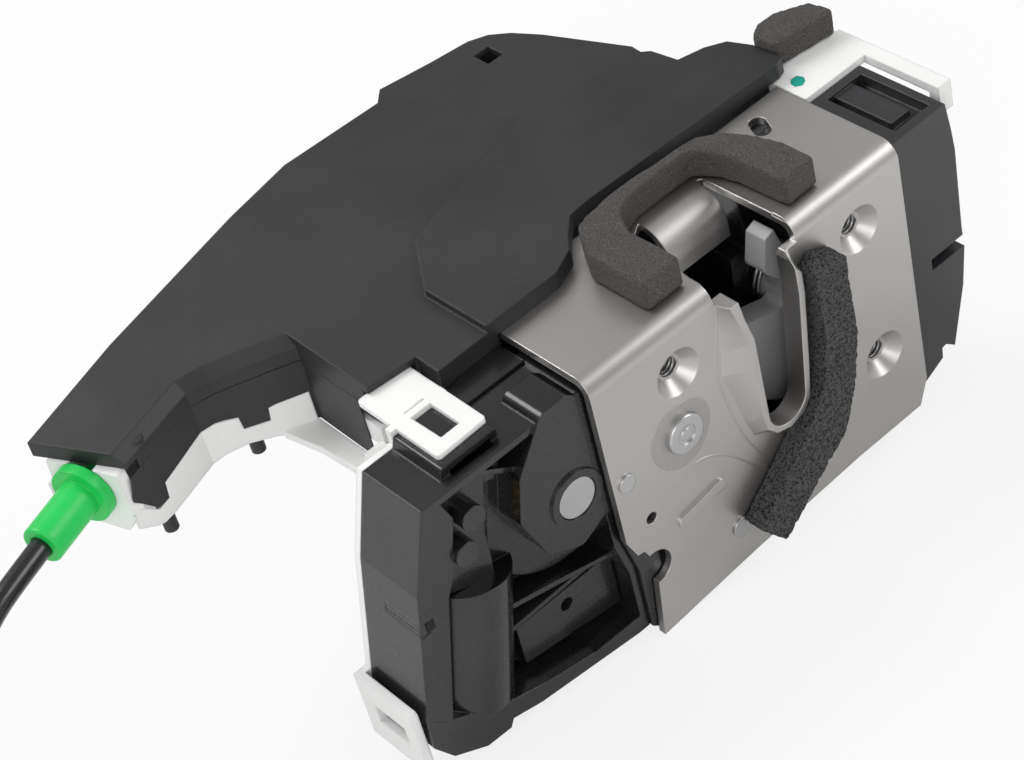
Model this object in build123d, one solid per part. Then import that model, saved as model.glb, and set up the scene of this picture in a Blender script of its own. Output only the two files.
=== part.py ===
from build123d import *
import os
from math import atan2, ceil, cos, degrees, floor, hypot, pi, radians, sin, tan

# Car door latch with its central-locking actuator. Millimetres.
# The origin is the upper left screw hole, on the outer face of the face plate.
# X runs along the face plate, Y goes back into the door, Z is up towards the flange.

# Fits
SLIDE = 0.05        # radial running clearance of a pin in its bore
GAP = 0.3           # clearance between pieces that only lie beside each other

# Steel face plate: a face in front and a flange on top, bent from one sheet
SHEET = 2.0
BEND_R = 4.5
FLANGE_Z = 14.5
FLANGE_DEPTH = 36.5
PLATE_LEFT = -23.2
PLATE_RIGHT = 70.4
PLATE_BOTTOM = -66.9
SCREW_HOLES = [(0.0, 0.0), (56.0, 0.0), (58.1, -39.3)]
THREAD_R = 2.5      # core radius of the M6 thread
DIMPLE_R = 6.0
DIMPLE_DEPTH = 3.2
THREAD_END = 7.0    # how far the threaded neck reaches behind the face
RIVET_DEPTH = 10.0  # how far the small rivets reach behind the face
SMALL_RIVETS = [((-19.4, -17.5), 1.6), ((8.0, -54.3), 1.9)]

# Striker slot and the mouth that leads to it
SLOT_X = 24.8
SLOT_W = 11.4
SLOT_BOTTOM = -32.2
SLOT_FLARE = 2.9    # how much further right the slot's right edge is at its top
MOUTH_LEFT = 12.6
MOUTH_RIGHT = 38.0
MOUTH_DEPTH = 28.0
MOUTH_Z = 9.5
LIP_R = 8.0         # bend of the lip at the back of the mouth
LIP_DROP = 11.5
COLLAR_T = 1.7
COLLAR_H = 3.4
COLLAR_SLOPE = 5.2  # width of the slope that rises to the collar on its left

# Latch mechanism
CLAW_PIVOT = (46.0, -14.0)
CLAW_FRONT = 8.0
CLAW_T = 6.0
CLAW_R = 27.5
CLAW_HUB_R = 12.5
PRONG_STEP = 4.1
UPPER_PRONG_R = CLAW_R - PRONG_STEP
UPPER_PRONG_A = 108.0
LOWER_PRONG_A = 244.0
THROAT_A = 148.5
THROAT_R = 2.4      # rounding of the throat's closed end
NOTCH_R = 24.0
NOTCH_A = 168.0
CLAW_PIN_R = 4.5
PAWL_PIVOT = (-2.2, -15.9)
PAWL_FRONT = 8.5
PAWL_T = 5.0
PAWL_HUB_R = 8.5
PAWL_PIN_R = 4.0
PAWL_LIFT = 15.0
PAWL_TIP_GAP = 0.4
RIVET_HEAD_H = 1.5
PAWL_HEAD_R = 5.0
TAB_REACH = 10.5    # from the pawl's pin to its release tab
TAB_A = 108.0
TAB_R = 2.5

# Moulded latch body behind the face plate
BODY_BACK = 30.0
BODY_LEFT = -22.0
BODY_RIGHT = 69.6
BODY_TOP = 12.4
BODY_BOTTOM = -60.5
BODY_FRONT = 7.5
POCKET_BACK = 18.0
CHANNEL_BACK = 27.5
BACK_PLATE_T = 2.0

# Moulded actuator housing on the left, open at its back
HOUSING_FRONT = 3.5
HOUSING_BACK = 22.5
HOUSING_WALL = 1.8
WHEEL_CENTRE = (-30.8, -14.0)
GEAR_Y = 14.5
WHEEL_T = 4.0
GEAR_MODULE = 0.8
WHEEL_TEETH = 48
SECTOR_START, SECTOR_END = 142.0, 244.0
WORM_PITCH_R = 4.5
MOTOR_LEAN = 14.3   # degrees from upright
MOTOR_START = 14.0  # from the mesh point down the shaft to the motor
MOTOR_LENGTH = 26.0
MOTOR_R = 10.0
MOTOR_FLAT = 15.4
BAY_R = 12.0
BAY_START = 12.3
DRUM_R = 22.0
DRUM_FRONT = 10.0
BOSS_FRONT = 2.8
AXLE_R = 3.0
AXLE_CAP_R = 5.15
DRIVE_PIN_REACH = 12.0
DRIVE_PIN_R = 2.5
DRIVE_PIN_A = 210.0
SHELF_TOP = 13.8
SHELF_FRONT = 7.0

# White carrier: back wall of the housing, tray below the cover, snap loops
CARRIER_T = 1.8
TRAY_LOW = -1.5
TRAY_FLOOR = 0.3
TRAY_BAND_TOP = 4.3
CLIP_T = 2.0
PEGS = [(-92.7, 66.6), (-65.6, 70.0), (20.0, 96.0)]
PEG_R = 1.7
PEG_BOTTOM = -12.0

# Black cover over the levers
COVER_TOP = 16.9
COVER_T = 1.8
RAISED_TOP = 18.8
SKIRT_BOTTOM = 10.5
INNER_WALL_BOTTOM = 3.5
COVER_BEVEL = 2.6

# Release lever, on an upright pin in the tray
LEVER_PIVOT = (-19.1, 56.5)
LEVER_LOW = 6.0
LEVER_T = 2.0
LEVER_FINGER = 19.8
FINGER_R = 2.0
LEVER_CABLE_ARM = 45.0
LEVER_PIN_R = 3.0
LEVER_TRAVEL = 8.0
NIPPLE_R = 2.0

# Inside handle cable
CABLE_Z = 7.0
CABLE_ANGLE = 21.0  # heading of the cable, from -X towards -Y
FERRULE_X, FERRULE_Y = -103.3, 72.5
CORD_D = 5.2
FLOOR_Z = -67.2     # the surface that the lowest corner of the plate stands at
COIL_TURN_R = 28.4  # the middle one of its three turns, which lie side by side
COIL_TURNS = 3
COIL_PITCH = 5.4
COIL_CENTRE = (-226.0, 55.4)
END_R = 4.5

# Connector block at the right end
PLUG_LEFT = 70.9
PLUG_FRONT = 2.3
PLUG_BACK = 28.0
PLUG_TOP = 12.5


def front(y):
    """Plane at depth y, drawn in X and Z as seen from in front of the face plate."""
    return Plane(origin=(0, y, 0), x_dir=(1, 0, 0), z_dir=(0, -1, 0))


def slab_y(sketch, y_front, y_back):
    """A front-view outline, solid from y_front back to y_back."""
    return extrude(front(y_back) * sketch, amount=y_back - y_front, dir=(0, -1, 0))


def slab_z(sketch, z_low, z_high):
    """A top-view outline, solid from z_low up to z_high."""
    return extrude(Plane.XY.offset(z_low) * sketch, amount=z_high - z_low, dir=(0, 0, 1))


def pull(plane, sketch, amount):
    """Outline drawn on a plane, solid along the plane's normal."""
    return extrude(plane * sketch, amount=amount, dir=plane.z_dir)


def rod_y(centre, radius, y_front, y_back):
    """Round bar along Y."""
    return slab_y(Pos(*centre) * Circle(radius), y_front, y_back)


def rod_z(centre, radius, z_low, z_high):
    """Round bar along Z."""
    return slab_z(Pos(*centre) * Circle(radius), z_low, z_high)


def rounded(points, radius=0.0):
    """Closed outline through the points, with its corners rounded."""
    shape = Polygon(*points, align=None)
    return fillet(shape.vertices(), radius) if radius else shape


def polar(centre, reach, angle):
    """Point at a distance and an angle in degrees from a centre."""
    return (centre[0] + reach * cos(radians(angle)), centre[1] + reach * sin(radians(angle)))


def wedge(start, end, reach=90.0):
    """Pie slice about the origin from angle start to angle end."""
    steps = 4
    rim = [polar((0, 0), reach, start + (end - start) * i / steps) for i in range(steps + 1)]
    return Polygon((0, 0), *rim, align=None)


def capsule(start, end, width):
    """Straight slot outline of a width, with round ends centred on two points."""
    length = hypot(end[0] - start[0], end[1] - start[1])
    turn = degrees(atan2(end[1] - start[1], end[0] - start[0]))
    middle = ((start[0] + end[0]) / 2, (start[1] + end[1]) / 2)
    return Pos(*middle) * Rot(0, 0, turn) * SlotCenterToCenter(length, width)


def box(x0, x1, y0, y1, z0, z1):
    """Box between two corners."""
    return Pos((x0 + x1) / 2, (y0 + y1) / 2, (z0 + z1) / 2) * Box(x1 - x0, y1 - y0, z1 - z0)


# Face plate


def face_outline():
    """Front outline of the plate, with the stepped round notch at its lower left."""
    with BuildSketch() as sketch:
        with BuildLine():
            Polyline(
                (PLATE_LEFT + 5.8, -51.0), (PLATE_LEFT + 4.1, PLATE_BOTTOM), (10.8, PLATE_BOTTOM + 2.4),
                (45.8, PLATE_BOTTOM + 4.1), (67.0, PLATE_BOTTOM + 4.1), (PLATE_RIGHT - 0.3, -56.1),
                (PLATE_RIGHT, 40.0), (PLATE_LEFT, 40.0), (PLATE_LEFT, -33.4), (PLATE_LEFT + 2.1, -38.9),
                (PLATE_LEFT + 4.0, -39.2), (PLATE_LEFT + 5.0, -41.6),
            )
            ThreePointArc(
                (PLATE_LEFT + 5.0, -41.6), (PLATE_LEFT + 9.8, -43.6), (PLATE_LEFT + 5.8, -51.0)
            )
        make_face()
    return sketch.sketch


def mouth_outline(grow=0.0):
    """Striker slot with its round end, and the flare above it that opens through the bend."""
    left, right = SLOT_X - SLOT_W / 2 - grow, SLOT_X + SLOT_W / 2 + grow
    end = SLOT_BOTTOM + SLOT_W / 2
    sides = Polygon(
        (left, end), (left, -3.0), (left - 1.6, 3.7), (left - 2.5, MOUTH_Z), (MOUTH_LEFT - grow, MOUTH_Z + 2.2),
        (MOUTH_LEFT - grow, 40.0), (MOUTH_RIGHT + grow, 40.0), (MOUTH_RIGHT + grow, MOUTH_Z + 4.4),
        (MOUTH_RIGHT - 2.6 + grow, MOUTH_Z + 2.0), (right + SLOT_FLARE, MOUTH_Z - 1.4),
        (right + SLOT_FLARE, -0.8), (right, end), align=None,
    )
    return sides + Pos(SLOT_X, end) * Circle(SLOT_W / 2 + grow)


def collar():
    """Drawn collar round the slot: a rim in front of the face and the slope that rises to it."""
    left, right = SLOT_X - SLOT_W / 2 - COLLAR_T, SLOT_X + SLOT_W / 2 + COLLAR_T
    end = SLOT_BOTTOM + SLOT_W / 2
    reach = SLOT_W / 2 + COLLAR_T
    low = [polar((SLOT_X, end), reach, angle) for angle in (205, 235, 270, 305, 335)]
    rim = [(left - 3.4, MOUTH_Z + 0.6), (left - 1.6, 3.7), (left, -3.0), (left, -11.0), (left, -18.0), (left, end + 2.0)]
    rim += low + [(right + 0.4, end + 4.0), (right + SLOT_FLARE, -0.8), (right + SLOT_FLARE, 4.6), (right + 0.6, MOUTH_Z - 1.6)]
    foot = [
        (left - 4.6, MOUTH_Z + 0.2), (left - COLLAR_SLOPE, 1.0), (left - COLLAR_SLOPE - 0.8, -4.4),
        (left - COLLAR_SLOPE - 1.8, -9.6), (left - COLLAR_SLOPE + 0.2, -17.6), (left - 2.8, end - 1.0),
        (left - 1.0, end - 5.6), polar((SLOT_X, end), reach + 1.4, 238), polar((SLOT_X, end), reach + 0.6, 270),
    ]
    foot += [polar((SLOT_X, end), reach + 0.35, angle) for angle in (305, 335)]
    foot += [(right + 1.0, end + 4.0), (right + SLOT_FLARE + 1.0, -0.8), (right + SLOT_FLARE + 1.0, 4.8), (right + 3.0, MOUTH_Z)]
    front_face = front(-COLLAR_H) * Polygon(*rim, align=None)
    base = front(0.3) * Polygon(*foot, align=None)
    return loft([front_face, base], ruled=True)


def mouth_plan():
    """Top outline of the mouth in the flange."""
    points = [
        (MOUTH_LEFT, -10.0), (MOUTH_LEFT, 6.0), (MOUTH_LEFT + 2.6, MOUTH_DEPTH - 2.0),
        (MOUTH_LEFT + 5.6, MOUTH_DEPTH), (MOUTH_RIGHT - 0.6, MOUTH_DEPTH), (MOUTH_RIGHT, -10.0),
    ]
    return rounded(points, 1.2)


def latch_plate():
    """Bent face plate with dimpled screw holes, collared slot, bead and lip."""
    section = Polygon(
        (0, -90), (0, FLANGE_Z), (FLANGE_DEPTH, FLANGE_Z), (FLANGE_DEPTH, FLANGE_Z - SHEET),
        (SHEET, FLANGE_Z - SHEET), (SHEET, -90), align=None,
    )
    corners = section.vertices().sort_by_distance((0, FLANGE_Z, 0))
    section = fillet(corners[0], BEND_R)
    inner = section.vertices().sort_by_distance((SHEET, FLANGE_Z - SHEET, 0))
    section = fillet(inner[0], BEND_R - SHEET)
    side = Plane(origin=(PLATE_LEFT - 1, 0, 0), x_dir=(0, 1, 0), z_dir=(1, 0, 0))
    plate = pull(side, section, PLATE_RIGHT - PLATE_LEFT + 2)
    plate &= slab_y(face_outline(), -1, 60)
    plate += collar()
    for hole in SCREW_HOLES:
        neck = Pos(*hole) * Circle(DIMPLE_R - 0.6)
        plate += loft([front(SHEET - 0.2) * (Pos(*hole) * Circle(DIMPLE_R + 1.2)), front(DIMPLE_DEPTH + SHEET) * neck])
        plate += rod_y(hole, THREAD_R + 1.9, SHEET, THREAD_END)
    for hole in SCREW_HOLES:
        plate -= loft([front(-0.01) * (Pos(*hole) * Circle(DIMPLE_R)), front(DIMPLE_DEPTH) * (Pos(*hole) * Circle(THREAD_R + 0.6))])
        plate -= rod_y(hole, THREAD_R, 0, THREAD_END + 1)
    plate -= slab_y(mouth_outline(), -COLLAR_H - 1, SHEET + BEND_R)
    plate -= slab_z(mouth_plan(), MOUTH_Z, FLANGE_Z + 1)
    plate += mouth_lip()
    plate -= slab_z(capsule((57.2, 28.2), (58.4, 31.0), 4.2), FLANGE_Z - SHEET - 1, FLANGE_Z + 1)
    plate -= rod_y((-15.3, -31.8), 1.5, -1, SHEET + 1)
    plate += bead()
    for pin, radius in face_holes():
        plate -= rod_y(pin, radius + SLIDE, -1, SHEET + 1)
    return plate


def mouth_lip():
    """Sheet lip that rolls down at the back edge of the mouth."""
    low, tip = FLANGE_Z - LIP_DROP, MOUTH_DEPTH - LIP_R - 0.5
    outline = Polygon(
        (tip, low), (tip, FLANGE_Z), (MOUTH_DEPTH + 1.0, FLANGE_Z), (MOUTH_DEPTH + 1.0, FLANGE_Z - SHEET),
        (tip + SHEET, FLANGE_Z - SHEET), (tip + SHEET, low), align=None,
    )
    outer = outline.vertices().sort_by_distance((tip, FLANGE_Z, 0))
    outline = fillet(outer[0], LIP_R)
    inner = outline.vertices().sort_by_distance((tip + SHEET, FLANGE_Z - SHEET, 0))
    outline = fillet(inner[0], LIP_R - SHEET)
    side = Plane(origin=(MOUTH_LEFT + 6.0, 0, 0), x_dir=(0, 1, 0), z_dir=(1, 0, 0))
    return pull(side, outline, MOUTH_RIGHT - MOUTH_LEFT - 8.0)


def bead():
    """Pressed bead that stands out of the face below the pawl's rivet."""
    bar = slab_y(capsule((-7.4, -39.3), (4.4, -37.4), 3.0), -0.7, 0.2)
    return bar


def face_holes():
    """Where pins pass through the face plate, with their radii."""
    return [(PAWL_PIVOT, PAWL_PIN_R)] + SMALL_RIVETS


def plate_rivets():
    """Small rivets that hold the face plate to the latch body."""
    rivets = []
    for place, radius in SMALL_RIVETS:
        head = rod_y(place, radius + 0.7, -0.5, 0)
        rivets.append(head + rod_y(place, radius, 0, RIVET_DEPTH))
    return rivets


# Claw, pawl and their pins


def throat_outline():
    """Throat that the striker bar enters, between the two prongs."""
    points = [
        (14.0, -6.9), (38.6, -13.9), (39.4, -10.2), (38.8, -6.4), (34.0, -0.9), (36.0, 7.2), (36.0, 24.0), (14.0, 24.0),
    ]
    return rounded(points, THROAT_R)


def claw_outline():
    """Claw in the open position: a short upper prong, the throat and a long lower prong."""
    body = (Circle(CLAW_R) & wedge(UPPER_PRONG_A, LOWER_PRONG_A)) + Circle(CLAW_HUB_R)
    body -= (Circle(CLAW_R + 1) - Circle(UPPER_PRONG_R)) & wedge(UPPER_PRONG_A - 2, THROAT_A)
    body -= (Circle(CLAW_R + 1) - Circle(NOTCH_R)) & wedge(THROAT_A, NOTCH_A)
    body = Pos(*CLAW_PIVOT) * body - throat_outline()
    return body - Pos(*CLAW_PIVOT) * Circle(CLAW_PIN_R + SLIDE)


def claw():
    """Forked bolt that turns about the claw pin and closes over the striker."""
    shape = slab_y(claw_outline(), CLAW_FRONT, CLAW_FRONT + CLAW_T)
    hub = rod_y(CLAW_PIVOT, CLAW_PIN_R + 3.0, SHEET + GAP, POCKET_BACK - GAP)
    shape += hub - rod_y(CLAW_PIVOT, CLAW_PIN_R + SLIDE, 0, BODY_BACK)
    return shape


def pawl_outline(grow=0.0):
    """Pawl beside the claw's rim, with its hub and its hooked tip."""
    points = [
        (0.0, -8.0), (10.0, -16.5), (17.5, -25.0), (22.0, -30.5), (27.6, -35.0),
        (29.0, -39.0), (23.0, -42.0), (13.0, -37.5), (1.5, -29.0), (-8.0, -22.5),
    ]
    arm = Polygon(*points, align=None) + Pos(*PAWL_PIVOT) * Circle(PAWL_HUB_R)
    rim = Pos(*CLAW_PIVOT) * Circle(CLAW_R + PAWL_TIP_GAP)
    arm -= rim
    return offset(arm, grow) if grow else arm


def tab_centre(turn=0.0):
    """Centre of the pawl's release tab once the pawl has turned."""
    return polar(PAWL_PIVOT, TAB_REACH, TAB_A - turn)


def pawl():
    """Pawl with the tab at its back that the release lever pushes."""
    shape = slab_y(pawl_outline(), PAWL_FRONT, PAWL_FRONT + PAWL_T)
    neck = capsule(PAWL_PIVOT, tab_centre(), 2 * TAB_R)
    shape += slab_y(neck, PAWL_FRONT, PAWL_FRONT + PAWL_T)
    shape += rod_y(tab_centre(), TAB_R, PAWL_FRONT + PAWL_T - 1, BODY_BACK + 10.0)
    shape += rod_y(PAWL_PIVOT, PAWL_PIN_R + 2.5, SHEET + GAP, POCKET_BACK - GAP)
    return shape - rod_y(PAWL_PIVOT, PAWL_PIN_R + SLIDE, 0, BODY_BACK)


def rivet_tail(pivot, radius):
    """Formed head of a rivet behind the back plate."""
    y_front = BODY_BACK + BACK_PLATE_T
    return rod_y(pivot, radius + 1.5, y_front, y_front + 1.2)


def claw_pin():
    """Pin welded to the back of the face plate and riveted to the back plate."""
    pin = rod_y(CLAW_PIVOT, CLAW_PIN_R, SHEET, BODY_BACK + BACK_PLATE_T)
    return pin + rivet_tail(CLAW_PIVOT, CLAW_PIN_R)


def pawl_pin():
    """Rivet through both plates, with the ringed head that shows on the face."""
    head = rod_y(PAWL_PIVOT, PAWL_HEAD_R, -RIVET_HEAD_H, 0)
    head = fillet(head.edges().group_by(Axis.Y)[0], 0.5)
    head -= rod_y(PAWL_PIVOT, PAWL_HEAD_R * 0.5, -RIVET_HEAD_H - 1, -RIVET_HEAD_H + 0.4)
    head += rod_y(PAWL_PIVOT, PAWL_HEAD_R * 0.3, -RIVET_HEAD_H + 0.2, 0)
    pin = rod_y(PAWL_PIVOT, PAWL_PIN_R, 0, BODY_BACK + BACK_PLATE_T)
    return pin + head + rivet_tail(PAWL_PIVOT, PAWL_PIN_R)


def pin_plane(pivot, y):
    """Plane square to a pin along Y, with its normal towards the back."""
    return Plane(origin=(pivot[0], y, pivot[1]), x_dir=(1, 0, 0), z_dir=(0, 1, 0))


def torsion_spring(base, coil_r, wire_r, turns, leg):
    """Coil that rises from a base plane, with one straight leg along its last tangent."""
    pitch = 2 * wire_r + 0.15
    coil = Helix(pitch=pitch, height=pitch * turns, radius=coil_r)
    path = Wire([coil.edge(), Edge.make_line(coil @ 1, (coil @ 1) + (coil % 1).normalized() * leg)])
    section = Plane(origin=coil @ 0, z_dir=coil % 0) * Circle(wire_r)
    return base * sweep(section, path=path, is_frenet=True)


def claw_spring():
    """Opening spring round the claw's hub."""
    return torsion_spring(pin_plane(CLAW_PIVOT, 14.9), CLAW_PIN_R + 4.2, 0.55, 1.75, 7.0)


def pawl_spring():
    """Closing spring round the pawl's hub."""
    return torsion_spring(pin_plane(PAWL_PIVOT, 14.3), PAWL_PIN_R + 3.3, 0.45, 2.25, 3.0)


def lever_spring():
    """Return spring round the release lever's pin."""
    base = Plane(origin=(*LEVER_PIVOT, LEVER_LOW + LEVER_T + 0.9))
    return torsion_spring(base, LEVER_PIN_R + 1.2, 0.5, 2.75, 9.0)


# Latch body


def mechanism_pocket():
    """Front outline of the room in which the claw and the pawl turn."""
    claw_room = (Circle(CLAW_R + 0.7) & wedge(UPPER_PRONG_A - 8, LOWER_PRONG_A + 62)) + Circle(CLAW_HUB_R + 1.0)
    x, z = PAWL_PIVOT
    pawl_room = Polygon(
        (x - 9.8, z - 6.1), (x - 9.8, z + 6.9), (x - 7.2, z + 12.5), (x - 3.8, z + 14.3), (x + 1.2, z + 14.3),
        (x + 4.2, z + 11.3), (x + 10.8, z + 5.3), (x + 26.0, z - 12.0), (x + 33.2, z - 22.1),
        (x + 31.2, z - 27.6), (x + 25.2, z - 33.1), (x + 16.7, z - 33.5), (x + 7.6, z - 26.5),
        (x - 1.0, z - 15.7), align=None,
    )
    return Pos(*CLAW_PIVOT) * claw_room + pawl_room


def tab_slot(grow):
    """Slot through which the pawl's tab reaches back."""
    return capsule(tab_centre(), tab_centre(PAWL_LIFT), 2 * (TAB_R + grow))


def body_outline():
    """Front outline of the moulded latch body."""
    points = [
        (BODY_LEFT, BODY_TOP), (BODY_LEFT, -34.0), (-10.0, -46.0), (-10.0, BODY_BOTTOM),
        (64.0, BODY_BOTTOM), (BODY_RIGHT, -54.0), (BODY_RIGHT, BODY_TOP),
    ]
    return rounded(points, 2.5)


def latch_body():
    """Black moulding that carries the claw and pawl between the two steel plates."""
    body = slab_y(body_outline(), BODY_FRONT, BODY_BACK)
    body += box(-10.0, 64.0, SHEET, BODY_FRONT + 1, BODY_BOTTOM, -51.0)
    body += rod_y(SMALL_RIVETS[0][0], SMALL_RIVETS[0][1] + 0.95, SHEET, BODY_FRONT + 1)
    body -= slab_y(mechanism_pocket(), SHEET - 1, POCKET_BACK)
    body -= slab_y(mouth_outline(0.4), SHEET - 1, CHANNEL_BACK)
    body -= slab_y(tab_slot(0.6), SHEET, BODY_BACK + 1)
    body -= box(MOUTH_LEFT - 0.4, MOUTH_RIGHT + 0.4, MOUTH_DEPTH - LIP_R - 2.0, MOUTH_DEPTH + 3, -2.0, BODY_TOP + 1)
    for pin, radius in [(PAWL_PIVOT, PAWL_PIN_R), (CLAW_PIVOT, CLAW_PIN_R)]:
        body -= rod_y(pin, radius + SLIDE, SHEET - 1, BODY_BACK + 1)
    for pin, radius in SMALL_RIVETS:
        body -= rod_y(pin, radius + SLIDE, SHEET - 1, RIVET_DEPTH)
    body -= bumper_seat(0.02)
    body -= box(47.0, 66.0, 16.0, BODY_BACK + 1, -34.0, -22.0)
    return body


def bumper_seat(grow):
    """Curved block at the closed end of the striker channel."""
    ring = capsule((SLOT_X, SLOT_BOTTOM + SLOT_W / 2), (SLOT_X, -8.0), SLOT_W + 0.8 + 2 * 3.0 + 2 * grow)
    ring -= capsule((SLOT_X, SLOT_BOTTOM + SLOT_W / 2), (SLOT_X, 20.0), SLOT_W + 0.8 - 2 * grow)
    ring -= Pos(SLOT_X, 0.0) * Rectangle(60, 2 * 24.0 - 2 * grow)
    return slab_y(ring, POCKET_BACK - grow, CHANNEL_BACK)


def striker_bumper():
    """Rubber block in that seat."""
    return bumper_seat(0.0)


def back_plate():
    """Steel plate at the back of the latch body, which the pivot rivets clamp."""
    points = [
        (BODY_LEFT + 1.5, 3.0), (-12.0, 8.0), (MOUTH_LEFT - 2.0, 8.0), (MOUTH_LEFT - 2.0, -4.0),
        (MOUTH_RIGHT + 2.0, -4.0), (MOUTH_RIGHT + 2.0, 8.0), (66.0, 8.0), (68.0, -50.0),
        (60.0, -57.0), (-7.0, -57.0), (BODY_LEFT + 1.5, -30.0),
    ]
    plate = slab_y(rounded(points, 2.0), BODY_BACK, BODY_BACK + BACK_PLATE_T)
    plate -= slab_y(tab_slot(0.8), BODY_BACK - 1, BODY_BACK + 4)
    for pin, radius in [(CLAW_PIVOT, CLAW_PIN_R), (PAWL_PIVOT, PAWL_PIN_R)]:
        plate -= rod_y(pin, radius + SLIDE, BODY_BACK - 1, BODY_BACK + 4)
    ribs = slab_y(capsule((10.0, -48.0), (50.0, -48.0), 5.0), BODY_BACK + 1.0, BODY_BACK + BACK_PLATE_T + 0.8)
    plate -= box(47.0, 66.0, BODY_BACK - 1, BODY_BACK + 4, -34.0, -22.0)
    return plate + ribs


def ajar_switch():
    """Small switch that feels whether the claw has closed."""
    body = box(47.5, 65.5, 19.0, BODY_BACK + 1.5, -33.5, -22.5)
    body = fillet(body.edges().filter_by(Axis.Y), 1.0)
    plunger = rod_y((52.0, -28.0), 1.5, 16.4, 19.2)
    return body + plunger


# Foam


def foam_mouth_seal():
    """U-shaped foam seal on the flange around the mouth."""
    outer = [
        (-0.4, 5.1), (-0.6, 22.5), (4.6, 31.2), (8.7, 32.6), (18.9, 33.4), (40.7, 32.0),
        (45.8, 27.5), (48.6, 22.0), (50.6, 14.5), (50.9, 4.6), (40.9, 4.2), (40.2, 18.8),
        (39.2, 24.0), (36.4, 29.2), (20.0, 29.2), (14.0, 27.0), (10.4, 20.5), (10.8, 5.1),
    ]
    shape = slab_z(rounded(outer, 0.8), FLANGE_Z, FLANGE_Z + 8.0)
    return fillet(shape.edges().group_by(Axis.Z)[-1], 0.5)


def foam_face_strip():
    """Foam strip on the face beside the slot."""
    points = [
        (36.4, 3.2), (40.0, 5.6), (46.6, 2.4), (46.4, -20.0), (43.4, -34.0), (38.6, -44.6),
        (15.6, -62.0), (8.4, -52.6), (24.6, -38.6), (33.8, -28.4), (36.6, -14.0),
    ]
    strip = slab_y(rounded(points, 0.7), -6.0, 0)
    for place, radius in SMALL_RIVETS:
        strip -= rod_y(place, radius + 0.75, -0.55, 0)
    return strip


def foam_cover_block():
    """Foam block at the right end of the cover."""
    points = [(75.7, 41.2), (75.2, 48.2), (79.0, 50.6), (85.0, 50.4), (92.6, 46.4), (93.2, 38.8)]
    return slab_z(rounded(points, 1.0), 14.1, 21.0)


# Actuator housing


def motor_point(s, side=0.0):
    """Point down the motor's shaft from the mesh, and to its left by side."""
    lean = radians(MOTOR_LEAN)
    down = (-sin(lean), -cos(lean))
    left = (-cos(lean), sin(lean))
    centre = GEAR_MODULE * WHEEL_TEETH / 2 + WORM_PITCH_R
    return (
        WHEEL_CENTRE[0] + left[0] * (centre + side) + down[0] * s,
        WHEEL_CENTRE[1] + left[1] * (centre + side) + down[1] * s,
    )


def motor_plane(s):
    """Plane square to the motor's shaft, s down from the mesh, with its normal down the shaft."""
    x, z = motor_point(s)
    lean = radians(MOTOR_LEAN)
    return Plane(origin=(x, GEAR_Y, z), x_dir=(0, 1, 0), z_dir=(-sin(lean), 0, -cos(lean)))


def motor_rod(radius, s_start, s_end):
    """Round bar along the motor's shaft."""
    return pull(motor_plane(s_start), Circle(radius), s_end - s_start)


def housing_outline():
    """Front outline of the actuator housing, without the shelf."""
    points = [
        (-66.6, 11.2), (-73.5, -8.9), (-80.6, -42.0), (-81.0, -50.0), (-77.0, -56.4), (-68.6, -61.1),
        (-61.8, -61.4), (-60.6, -59.4), (-52.6, -61.4), (-23.5, -64.9), (-20.3, -64.9), (-20.3, -46.0),
        (BODY_LEFT - 0.4, -36.0), (BODY_LEFT - 0.4, 11.2), (-58.0, 11.2),
    ]
    return Polygon(*points, align=None)


def boss_outline():
    """Teardrop boss over the wheel's axle."""
    points = [(-34.0, 13.0), (-27.0, 13.0), (-24.2, 11.0), (-24.2, -24.0), (-32.0, -27.6), (-41.0, -23.0),
              (-45.6, -10.0), (-43.0, 1.0)]
    edge = Pos((BODY_LEFT - 0.4 - 27.0) / 2, -6.8) * Rectangle(27.0 + BODY_LEFT - 0.4, 35.6)
    return rounded(points, 2.0) + edge


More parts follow.
